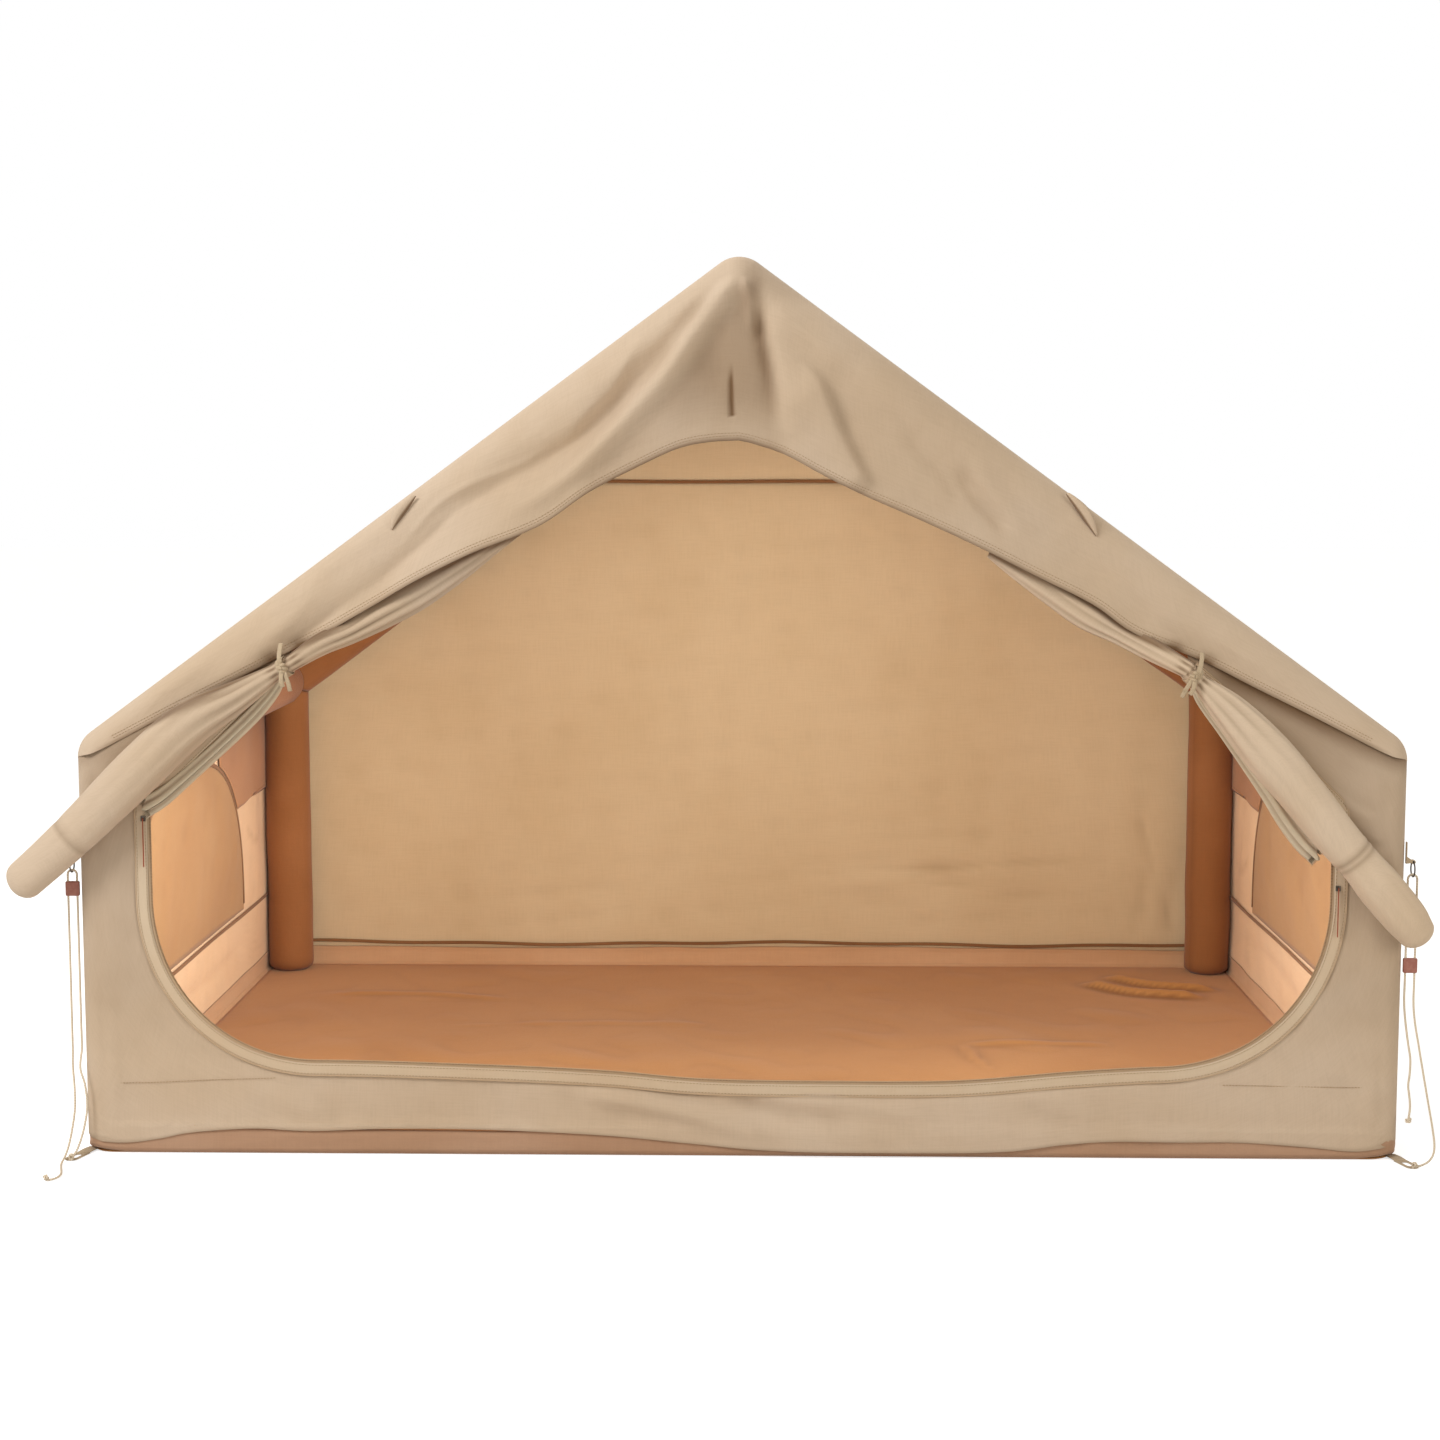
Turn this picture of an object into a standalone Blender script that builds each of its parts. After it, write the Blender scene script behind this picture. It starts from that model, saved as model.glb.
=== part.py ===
# Inflatable cabin tent, pitched, with both door leaves gathered and tied under the rafters.
# Metres, +Z up. The door faces -Y. The origin is on the ground, under the middle of the floor.

import math

import bmesh
import bpy
from mathutils import Matrix, Vector

for leftover in list(bpy.data.objects):
    bpy.data.objects.remove(leftover)

# The pitched tent: the roof and wall planes meet at the eave height, the roof planes at the ridge height
tent_width = 3.0
tent_depth = 2.1
eave_height = 0.946
ridge_height = 2.044

# Cloth and clearances
canvas = 0.0016
net_thickness = 0.0008
floor_cloth = 0.002
skirt_height = 0.055
webbing = 0.002
gap = 0.0003

# Air tubes
tube_diameter = 0.14
tube_skin = 0.0025
tube_sides = 20
foot_round = 0.022
elbow_ease = 0.38

# Door opening in the front wall
sill_top = 0.185
jamb_width = 0.163
door_corner_width = 0.38
door_corner_height = 0.405
jamb_foot_step = 0.0045
door_straight_top = 0.80
jamb_end_x = 1.00
jamb_end_drop = 0.055
hem_clearance = 0.004
door_arch_drop = 0.414

# Side windows: half of a rounded outline, straight along its foot
window_foot = 0.255
window_half_width = 0.62
window_height = 0.49
window_roundness = 2.6
flap_overlap = 0.012

# Folds of the gable cloth
fold_size = 0.026
fold_spread = 0.038
fold_free_edge = 0.060
fold_fade = 0.060
fold_end_x = 1.06
fold_end_fade = 0.08

# Gathered door leaves and nets, and the ties that hold them under the gable's hem
left_tie_x = 1.012
left_tie_drop = 0.183
right_tie_x = 1.006
right_tie_drop = 0.202
roll_length = 0.76
roll_radius = 0.062
leaf_radius = 0.044
net_roll_length = 0.42
net_roll_radius = 0.028
net_start_radius = 0.009
net_set_back = 0.022
roll_clearance = 0.003
leaf_clearance = 0.0005
tie_neck_radius = 0.022
strap_width = 0.025
strap_slack = 0.0006

# Guy ropes
rope_diameter = 0.005
strand_spacing = 0.021
strand_stand_off = 0.0065
rope_set_back = 0.025
ring_radius = 0.017
ring_wire = 0.0036
ring_height = 0.665
tab_width = 0.010
tab_length = 0.045
eye_hole = 0.0056
eye_wall = 0.002
tensioner_size = (0.032, 0.011, 0.034)
tensioner_left_height = 0.610
tensioner_right_height = 0.445
rope_hole = 0.0058
strands_left_low = 0.24
strands_right_low = 0.36

# Peg loops at the four corners
loop_heading = 73
loop_length = 0.066
loop_width = 0.030
loop_hole_length = 0.036
loop_hole_width = 0.016

# Zip sliders and their pulls
slider_size = (0.011, 0.0036, 0.012)
bail_wire = 0.0014
bail_width = 0.008
bail_reach = 0.0036
pull_width = 0.005
pull_thickness = 0.0015
pull_hole = 0.0026
door_pull_length = 0.110
window_pull_length = 0.048
door_slider_left_height = 0.775
door_slider_right_height = 0.625

# Inflation valve on the front left leg
valve_height = 0.40
valve_flange_radius = 0.022
valve_flange = 0.003
valve_barrel_radius = 0.014
valve_barrel = 0.014
valve_neck_radius = 0.012
valve_neck = 0.010
valve_bore_radius = 0.009
valve_seat_radius = 0.0045
valve_seat = 0.002
plunger_radius = 0.0075
plunger_head = 0.0018
stem_radius = 0.002
spring_wire = 0.001
spring_turns = 4
cap_wall = 0.0018
cap_clearance = 0.0005
relief_height = 0.40

# Level seam of the rear gable, below the ridge
rear_seam_drop = 0.524

# Webbing tabs on the gable, under the roof edge
rafter_tab_x = 0.762
rafter_tab_drop = 0.048
rafter_tab_size = (0.020, 0.0025, 0.052)

# Worked out from the sizes above
half_width = tent_width / 2
front = -tent_depth / 2
rear = tent_depth / 2
door_half_width = half_width - jamb_width
pitch = math.atan((ridge_height - eave_height) / half_width)
tube_radius = tube_diameter / 2
wrap_radius = tube_radius + gap + canvas
eave_x = half_width - wrap_radius
ridge_axis = ridge_height - wrap_radius / math.cos(pitch)
eave_axis = ridge_axis - eave_x * math.tan(pitch)
front_tube = front + canvas + gap + tube_radius
rear_tube = rear - canvas - gap - tube_radius
wall_foot = skirt_height + gap

tent = bpy.data.collections.new("inflatable_tent")
cutters = bpy.data.collections.new("cutters")
bpy.context.scene.collection.children.link(tent)
bpy.context.scene.collection.children.link(cutters)


# Colours are given as on a screen, 0 to 255
def finish(name, red, green, blue, roughness, metallic=0.0):
    made = bpy.data.materials.new(name)
    made.use_nodes = True
    shader = made.node_tree.nodes["Principled BSDF"]
    colour = [((c / 255 + 0.055) / 1.055) ** 2.4 for c in (red, green, blue)]
    shader.inputs["Base Color"].default_value = (*colour, 1)
    shader.inputs["Roughness"].default_value = roughness
    shader.inputs["Metallic"].default_value = metallic
    return made


beige_canvas = finish("beige_canvas", 208, 183, 150, 0.9)
inner_canvas = finish("inner_canvas", 206, 164, 120, 0.9)
window_cloth = finish("window_cloth", 205, 150, 105, 0.9)
brown_sleeve = finish("brown_sleeve", 145, 92, 52, 0.85)
brown_floor = finish("brown_floor", 170, 108, 68, 0.8)
grey_net = finish("grey_net", 176, 166, 140, 0.9)
beige_webbing = finish("beige_webbing", 200, 178, 145, 0.85)
beige_rope = finish("beige_rope", 222, 205, 175, 0.8)
red_brown_leather = finish("red_brown_leather", 150, 74, 48, 0.6)
brown_plastic = finish("brown_plastic", 158, 102, 88, 0.5)
dark_steel = finish("dark_steel", 70, 62, 55, 0.35, 1.0)
bright_steel = finish("bright_steel", 190, 188, 184, 0.3, 1.0)
black_plastic = finish("black_plastic", 38, 36, 34, 0.45)


def add(name, data, material, where=tent):
    made = bpy.data.objects.new(name, data)
    data.materials.append(material)
    where.objects.link(made)
    return made


def from_bmesh(name, work, material, where=tent, smooth=None):
    mesh = bpy.data.meshes.new(name)
    work.to_mesh(mesh)
    work.free()
    made = add(name, mesh, material, where)
    if smooth is not None:
        mesh.shade_smooth()
        mesh.set_sharp_from_angle(angle=math.radians(smooth))
    return made


# A flat outline of some thickness. Facing front, its outline is read as x and z; facing the side,
# as y and z; lying, as x and y. The place is the middle of its thickness.
facings = {
    "front": (math.pi / 2, 0, 0),
    "side": (math.pi / 2, 0, math.pi / 2),
    "lying": (0, 0, 0),
}


def flat_piece(name, outline, thickness, place, facing, material, holes=(), where=tent):
    shape = bpy.data.curves.new(name, "CURVE")
    shape.dimensions = "2D"
    shape.fill_mode = "BOTH"
    shape.extrude = thickness / 2
    for ring in (outline, *holes):
        spline = shape.splines.new("POLY")
        spline.points.add(len(ring) - 1)
        for point, (a, b) in zip(spline.points, ring):
            point.co = (a, b, 0, 1)
        spline.use_cyclic_u = True
    made = add(name, shape, material, where)
    made.location = place
    made.rotation_euler = facings[facing]
    return made


def arc(centre, radius, first, last, steps):
    points = []
    for i in range(steps + 1):
        angle = math.radians(first + (last - first) * i / steps)
        points.append((centre[0] + radius * math.cos(angle), centre[1] + radius * math.sin(angle)))
    return points


def mirrored(points):
    return [(-x, z) for x, z in reversed(points)]


def box(name, size, place, material, turn=(0, 0, 0), bevel=0.0, where=tent):
    work = bmesh.new()
    bmesh.ops.create_cube(work, size=1)
    bmesh.ops.scale(work, vec=size, verts=work.verts)
    made = from_bmesh(name, work, material, where)
    made.location = place
    made.rotation_euler = turn
    if bevel:
        rounding = made.modifiers.new("round", "BEVEL")
        rounding.width = bevel
        rounding.segments = 2
    return made


def cutter_rod(name, radius, length, place, turn):
    work = bmesh.new()
    bmesh.ops.create_cone(
        work, cap_ends=True, segments=20, radius1=radius, radius2=radius, depth=length
    )
    made = from_bmesh(name, work, black_plastic, cutters)
    made.location = place
    made.rotation_euler = turn
    made.hide_render = True
    made.display_type = "WIRE"
    return made


def cut(piece, tool):
    hole = piece.modifiers.new(tool.name, "BOOLEAN")
    hole.operation = "DIFFERENCE"
    hole.solver = "EXACT"
    hole.object = tool


# A turned piece: its profile runs from top to bottom on the outer side, as radius and height
def turned(name, profile, place, turn, material, steps=24):
    mesh = bpy.data.meshes.new(name)
    edges = [(i, i + 1) for i in range(len(profile) - 1)]
    if profile[0][0] > 0:
        edges.append((len(profile) - 1, 0))
    mesh.from_pydata([(radius, 0, height) for radius, height in profile], edges, [])
    made = add(name, mesh, material)
    made.location = place
    made.rotation_euler = turn
    lathe = made.modifiers.new("turn", "SCREW")
    lathe.steps = steps
    lathe.render_steps = steps
    lathe.use_merge_vertices = True
    lathe.merge_threshold = 0.00001
    lathe.use_smooth_shade = True
    return made


# Skin over rings that have the same number of points
def skin(rings, endless=False):
    work = bmesh.new()
    rows = [[work.verts.new(place) for place in ring] for ring in rings]
    pairs = list(zip(rows, rows[1:]))
    if endless:
        pairs.append((rows[-1], rows[0]))
    else:
        work.faces.new(rows[0])
        work.faces.new(rows[-1])
    for first, second in pairs:
        for i in range(len(first)):
            j = (i + 1) % len(first)
            work.faces.new((first[i], first[j], second[j], second[i]))
    bmesh.ops.recalc_face_normals(work, faces=work.faces)
    return work


# Air tubes: hollow sleeves, their ends cut on the planes where they meet. A slanted end narrows to a
# round throat, as a bent air tube does. A foot is closed and rounded.
def air_tube(name, start, end, start_plane, end_plane, foot=False):
    start = Vector(start)
    end = Vector(end)
    axis = (end - start).normalized()
    across = Vector((0, 1, 0)) if abs(axis.y) < 0.5 else Vector((1, 0, 0))
    other = axis.cross(across)

    def ring(centre, plane, radius, round_radius=None):
        points = []
        for i in range(tube_sides):
            angle = 2 * math.pi * (i + 0.5) / tube_sides
            offset = (across * math.cos(angle) + other * math.sin(angle)) * radius
            offset -= axis * offset.dot(plane) / axis.dot(plane)
            if round_radius:
                offset = offset.normalized() * round_radius
            points.append(centre + offset)
        return points

    def cut_end(centre, plane, radius, inward):
        plane = Vector(plane).normalized()
        lean = axis.dot(plane)
        centre = centre + axis * inward * gap / 2 / abs(lean)
        if abs(lean) > 0.999:
            return [ring(centre, axis, radius)]
        out = (plane - axis * lean).normalized() * inward * math.copysign(1, lean)
        shoulder_centre = centre + axis * inward * radius * elbow_ease
        shoulder = ring(shoulder_centre, axis + out * inward * elbow_ease, radius)
        return [ring(centre, plane, radius, radius), shoulder]

    def round_foot(thick):
        rings = []
        rounding = foot_round - thick
        for angle in (0, math.pi / 4, math.pi / 2):
            height = thick + rounding * (1 - math.cos(angle))
            radius = tube_radius - foot_round + rounding * math.sin(angle)
            rings.append(ring(start + axis * height, axis, radius))
        return rings

    walls = []
    for thick in (0, tube_skin):
        radius = tube_radius - thick
        near = round_foot(thick) if foot else cut_end(start, start_plane, radius, 1)
        walls.append(near + cut_end(end, end_plane, radius, -1)[::-1])
    work = skin(walls[0] + walls[1][::-1], endless=not foot)
    return from_bmesh(name, work, brown_sleeve, smooth=50)


def build_frame():
    upright = Vector((0, 0, 1))
    level = Vector((0, 1, 0))
    for side_name, side in (("left", -1), ("right", 1)):
        climb = Vector((-side * math.cos(pitch), 0, math.sin(pitch)))
        elbow_plane = upright + climb
        apex_plane = Vector((1, 0, 0))
        for end_name, y in (("front", front_tube), ("rear", rear_tube)):
            foot = (side * eave_x, y, floor_cloth + gap)
            elbow = (side * eave_x, y, eave_axis)
            apex = (0, y, ridge_axis)
            leg = air_tube(f"{end_name}_{side_name}_leg", foot, elbow, upright, elbow_plane, foot=True)
            if end_name == "front":
                height = valve_height if side < 0 else relief_height
                port = cutter_rod(
                    f"{side_name}_leg_port", valve_neck_radius + gap, tube_radius,
                    (side * eave_x, y + tube_radius, height), (math.pi / 2, 0, 0),
                )
                cut(leg, port)
            air_tube(f"{end_name}_{side_name}_rafter", elbow, apex, elbow_plane, apex_plane)
        beam_start = (side * eave_x, front_tube + tube_radius + gap / 2, eave_axis)
        beam_end = (side * eave_x, rear_tube - tube_radius - gap / 2, eave_axis)
        air_tube(f"{side_name}_eave_beam", beam_start, beam_end, level, level)
    ridge_start = (0, front_tube + tube_radius + gap / 2, ridge_axis)
    ridge_end = (0, rear_tube - tube_radius - gap / 2, ridge_axis)
    air_tube("ridge_beam", ridge_start, ridge_end, level, level)


# Roof line of the right half, from the ridge to the top of the wall, some way inside the outer cloth
def roof_line(inset=0.0, start_x=0.0):
    radius = wrap_radius - inset
    lean = math.degrees(pitch)
    first = math.degrees(math.acos(start_x / radius))
    ridge = arc((0, ridge_axis), radius, first, 90 - lean, 4)
    eave = arc((eave_x, eave_axis), radius, 90 - lean, 0, 6)
    return ridge + eave


def roof_height(x):
    return ridge_height - abs(x) * math.tan(pitch)


# A place on the gable, read on the right side: its share of the half width, and its drop below the
# roof line as a share of the arch's own drop
def on_gable(x_share, drop_share):
    x = x_share * half_width
    return x, roof_height(x) - drop_share * door_arch_drop


def build_roof():
    strip = roof_line(0.0, gap / 2) + roof_line(canvas, gap / 2)[::-1]
    span = tent_depth - 2 * (canvas + gap)
    flat_piece("roof_right", strip, span, (0, 0, 0), "front", beige_canvas)
    flat_piece("roof_left", mirrored(strip), span, (0, 0, 0), "front", beige_canvas)


def build_groundsheet():
    work = bmesh.new()
    bmesh.ops.create_cube(work, size=1)
    for vert in work.verts:
        vert.co = (vert.co.x * tent_width, vert.co.y * tent_depth, (vert.co.z + 0.5) * skirt_height)
    lid = max(work.faces, key=lambda face: face.calc_center_median().z)
    bmesh.ops.delete(work, geom=[lid], context="FACES_ONLY")
    tray = from_bmesh("groundsheet", work, brown_floor)
    sides = tray.modifiers.new("cloth", "SOLIDIFY")
    sides.thickness = floor_cloth
    sides.offset = -1
    sides.use_even_offset = True


def window_outline(grow=0.0, foot_inset=0.0):
    points = []
    steps = 20
    for i in range(steps + 1):
        angle = math.pi * i / steps
        power = 2 / window_roundness
        across = math.copysign(abs(math.cos(angle)) ** power, math.cos(angle))
        rise = math.sin(angle) ** power if 0 < i < steps else 0.0
        height = window_height + grow - foot_inset
        points.append(((window_half_width + grow) * across, window_foot + foot_inset + height * rise))
    return points


def build_side_walls():
    wall_span = tent_depth / 2 - canvas - gap
    wall_top = eave_axis - gap
    wall = [(-wall_span, wall_foot), (wall_span, wall_foot), (wall_span, wall_top), (-wall_span, wall_top)]
    for side_name, side in (("left", -1), ("right", 1)):
        outer_x = side * (half_width - canvas / 2)
        flat_piece(
            f"{side_name}_wall", wall, canvas, (outer_x, 0, 0), "side", beige_canvas, [window_outline()]
        )
        net_x = side * (half_width - net_thickness / 2)
        flat_piece(
            f"{side_name}_window_net", window_outline(-gap, gap), net_thickness, (net_x, 0, 0), "side",
            grey_net,
        )
        flap_x = side * (half_width - canvas * 1.5 - gap)
        flap = flat_piece(
            f"{side_name}_window_flap", window_outline(flap_overlap), canvas, (flap_x, 0, 0), "side",
            window_cloth,
        )
        # The flap turns about its sewn foot
        foot = Vector((flap_x, 0, window_foot))
        for spline in flap.data.splines:
            for point in spline.points:
                point.co.y -= foot.z
        flap.location = foot


# Lower hem of the gable cloth, from the middle of the door out to the eave
hem_end = (half_width - 0.012, eave_axis + 0.006)
right_hem_shares = [
    (0, 1), (0.023, 0.96), (0.07, 0.9), (0.121, 0.87), (0.183, 0.82), (0.267, 0.73), (0.354, 0.645),
    (0.443, 0.57), (0.525, 0.5), (0.587, 0.49), (0.687, 0.372), (0.771, 0.302), (0.854, 0.23), (0.957, 0.147),
]
left_hem_shares = [
    (0, 1), (0.04, 0.9), (0.087, 0.81), (0.145, 0.756), (0.223, 0.703), (0.295, 0.69), (0.395, 0.57),
    (0.48, 0.495), (0.563, 0.447), (0.609, 0.418), (0.68, 0.365), (0.771, 0.295), (0.854, 0.227), (0.957, 0.147),
]
right_hem = [on_gable(*shares) for shares in right_hem_shares] + [hem_end]
left_hem = [on_gable(*shares) for shares in left_hem_shares] + [hem_end]


def hem_height(hem, x):
    for (x0, z0), (x1, z1) in zip(hem, hem[1:]):
        if x0 <= x <= x1:
            return z0 + (z1 - z0) * (x - x0) / (x1 - x0)
    return hem[-1][1]


# Right half of the opening, from the sill up and inwards to the tie
def door_edge(hem):
    foot = sill_top + gap + jamb_foot_step
    centre = (door_half_width - door_corner_width, foot + door_corner_height)
    points = []
    steps = 8
    for i in range(steps + 1):
        angle = -math.pi / 2 * (1 - i / steps)
        x = centre[0] + door_corner_width * math.cos(angle)
        points.append((x, centre[1] + door_corner_height * math.sin(angle)))
    points.append((door_half_width, door_straight_top))
    points.append((jamb_end_x, hem_height(hem, jamb_end_x) - jamb_end_drop))
    return points


def jamb_outline(hem):
    outer_top = eave_axis - gap
    under_hem = [(jamb_end_x, hem_height(hem, jamb_end_x))] + [point for point in hem if point[0] > jamb_end_x]
    under_hem = [(x, z - hem_clearance) for x, z in under_hem]
    start_x = door_half_width - door_corner_width
    corner = [(start_x, sill_top + gap), (half_width, sill_top + gap), (half_width, outer_top)]
    return corner + under_hem[::-1] + door_edge(hem)[::-1]


def build_front():
    middle = front + canvas / 2
    sill = [(-half_width, wall_foot), (half_width, wall_foot), (half_width, sill_top), (-half_width, sill_top)]
    flat_piece("front_sill", sill, canvas, (0, middle, 0), "front", beige_canvas)
    right = jamb_outline(right_hem)
    left = mirrored(jamb_outline(left_hem))
    flat_piece("front_right_jamb", right, canvas, (0, middle, 0), "front", beige_canvas)
    flat_piece("front_left_jamb", left, canvas, (0, middle, 0), "front", beige_canvas)


# Main folds of the gable cloth: each is a ridge along a line, with shares of the folds' size and spread
left_folds = [
    ([(0.02, 0.17), (0.066, 0.24), (0.133, 0.43), (0.193, 0.46), (0.253, 0.49), (0.311, 0.52)], 1, 0.9),
    ([(0.2, 0.3), (0.32, 0.22), (0.44, 0.22), (0.537, 0.29), (0.633, 0.38)], 0.77, 1),
    ([(0.28, 0.72), (0.413, 0.53), (0.533, 0.42)], 0.54, 0.8),
]
right_folds = [
    ([(0.05, 0.26), (0.061, 0.52), (0.07, 0.79)], 0.77, 0.58),
    ([(0.093, 0.34), (0.167, 0.53), (0.22, 0.73)], 0.62, 0.8),
    ([(0.24, 0.39), (0.4, 0.4), (0.533, 0.38), (0.647, 0.4)], 0.7, 0.95),
]


def distance_to_line(point, line):
    nearest = 9.0
    for a, b in zip(line, line[1:]):
        run = Vector(b) - Vector(a)
        along = min(max((point - Vector(a)).dot(run) / run.length_squared, 0), 1)
        nearest = min(nearest, (point - Vector(a) - run * along).length)
    return nearest


def fold_height(x, z, folds):
    point = Vector((x, z))
    below_edge = (roof_height(x) - z) * math.cos(pitch)
    fade = min(max((below_edge - fold_free_edge) / fold_fade, 0), 1)
    fade *= min(max((fold_end_x - x) / fold_end_fade, 0), 1)
    height = 0.0
    for shares, size, spread in folds:
        line = [on_gable(*share) for share in shares]
        height += size * math.exp(-((distance_to_line(point, line) / (spread * fold_spread)) ** 2))
    return height * fold_size * fade * fade * (3 - 2 * fade)


def along_line(line, share):
    lengths = [(Vector(b) - Vector(a)).length for a, b in zip(line, line[1:])]
    left = share * sum(lengths)
    for a, b, length in zip(line, line[1:], lengths):
        if left <= length or b == line[-1]:
            return Vector(a).lerp(Vector(b), min(left / length, 1))
        left -= length


def build_gable(name, side, hem, folds):
    top = roof_line(0.0, gap / 2)
    low = [(max(x, gap / 2), z) for x, z in hem]
    columns = 34
    rows = 9
    work = bmesh.new()
    grid = []
    for i in range(columns + 1):
        high_point = along_line(top, i / columns)
        low_point = along_line(low, i / columns)
        column = []
        for j in range(rows + 1):
            x, z = high_point.lerp(low_point, j / rows)
            column.append(work.verts.new((side * x, front - fold_height(x, z, folds), z)))
        grid.append(column)
    for first, second in zip(grid, grid[1:]):
        for j in range(rows):
            work.faces.new((first[j], first[j + 1], second[j + 1], second[j]))
    back = bmesh.ops.extrude_face_region(work, geom=work.faces[:])["geom"]
    moved = [part for part in back if isinstance(part, bmesh.types.BMVert)]
    bmesh.ops.translate(work, vec=(0, canvas, 0), verts=moved)
    bmesh.ops.recalc_face_normals(work, faces=work.faces)
    from_bmesh(name, work, beige_canvas, smooth=60)


def build_rafter_tabs():
    for side_name, side in (("left", -1), ("right", 1)):
        x = side * rafter_tab_x
        z = roof_height(x) - rafter_tab_drop
        place = (x, front - gap - rafter_tab_size[1] / 2, z)
        box(f"{side_name}_rafter_tab", rafter_tab_size, place, beige_webbing, (0, -side * 0.6, 0))


def build_rear():
    seam = ridge_height - rear_seam_drop
    middle = rear - canvas / 2
    line = [point for point in roof_line() if point[1] > seam + gap]
    seam_x = (ridge_height - seam) / math.tan(pitch)
    low_x = (ridge_height - seam + gap) / math.tan(pitch)
    high_x = (ridge_height - seam - gap) / math.tan(pitch)
    below = [point for point in roof_line() if point[1] < seam - gap]
    half = [(low_x - gap, seam)] + below + [(half_width, wall_foot)]
    wall = mirrored(half) + half
    flat_piece("rear_wall", wall, canvas, (0, middle, 0), "front", inner_canvas)
    upper = line + [(min(high_x, seam_x) - gap, seam + gap)]
    gable = mirrored(upper)[:-1] + upper
    flat_piece("rear_gable", gable, canvas, (0, middle, 0), "front", inner_canvas)


# Gathered cloth: round sections along a smooth path. Each station is x, y, z, half height, half depth
# and how deep its pleats are.
def smooth_stations(stations, steps):
    padded = [stations[0], *stations, stations[-1]]
    made = []
    for k in range(1, len(padded) - 2):
        before, here, there, after = padded[k - 1 : k + 3]
        for i in range(steps):
            t = i / steps
            made.append(
                [
                    0.5 * (2 * b + (c - a) * t + (2 * a - 5 * b + 4 * c - d) * t**2 + (3 * b - a - 3 * c + d) * t**3)
                    for a, b, c, d in zip(before, here, there, after)
                ]
            )
    made.append(list(stations[-1]))
    return made


def gathered_cloth(name, stations, steps, pleats, sides, material):
    rings = smooth_stations(stations, steps)
    last = Vector(rings[-1][:3])
    heading = (last - Vector(rings[-2][:3])).normalized()
    high, deep, pleat = rings[-1][3:]
    for share in (0.4, 0.75, 0.95):
        place = last + heading * share * min(high, deep)
        shrink = math.sqrt(1 - share * share)
        rings.append([*place, high * shrink, deep * shrink, pleat * shrink])
    sections = []
    for k, (x, y, z, high, deep, pleat) in enumerate(rings):
        ahead = Vector(rings[min(k + 1, len(rings) - 1)][:3]) - Vector(rings[max(k - 1, 0)][:3])
        ahead.normalize()
        up = ahead.cross(Vector((0, 1, 0))).normalized()
        if up.z < 0:
            up = -up
        out = ahead.cross(up).normalized()
        section = []
        for i in range(sides):
            angle = 2 * math.pi * i / sides
            swell = 1 - pleat * (0.5 + 0.5 * math.cos(pleats * angle + 0.35 * k))
            offset = up * high * swell * math.cos(angle) + out * deep * swell * math.sin(angle)
            section.append(Vector((x, y, z)) + offset)
        sections.append(section)
    work = skin(sections)
    return from_bmesh(name, work, material, smooth=60)


flatness = 0.74
leaf_flatness = 0.55


def before_wall(half_depth):
    return front - roll_clearance - half_depth


# A leaf lies behind the gable, from its free end, and comes out under the hem close to the tie
def leaf_stations(side, shares, hem_shares):
    made = []
    for x_share, drop_share, radius_share in shares:
        x, z = on_gable(x_share, drop_share)
        radius = radius_share * leaf_radius
        half_depth = radius * leaf_flatness
        made.append((side * x, front + canvas + leaf_clearance + half_depth, z, radius, half_depth, 0.15))
    x, z = on_gable(*hem_shares)
    made.append((side * x, front, z, tie_neck_radius * 0.95, tie_neck_radius * 0.82, 0.1))
    return made


# A roll hangs in front of the wall, from the tie down and outwards
def roll_stations(side, tie, shares):
    made = []
    for out_share, rise_share, radius_share, pleat in shares:
        radius = radius_share * roll_radius
        half_depth = radius * flatness
        x = tie.x + side * out_share * roll_length
        z = tie.z + rise_share * roll_length
        made.append((x, before_wall(half_depth), z, radius, half_depth, pleat))
    return made


def tie_place(side, x, drop):
    return Vector((side * x, before_wall(tie_neck_radius), roof_height(x) - drop))


left_tie = tie_place(-1, left_tie_x, left_tie_drop)
left_tie_heading = Vector((-0.86, 0, -0.51))
right_tie = tie_place(1, right_tie_x, right_tie_drop)
right_tie_heading = Vector((0.72, 0, -0.69))


def neck_stations(tie, heading):
    made = []
    for share in (-1.0, -0.55, 0.55, 1.0):
        place = tie + heading.normalized() * share * strap_width
        made.append((*place, tie_neck_radius, tie_neck_radius, 0.0))
    return made


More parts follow.
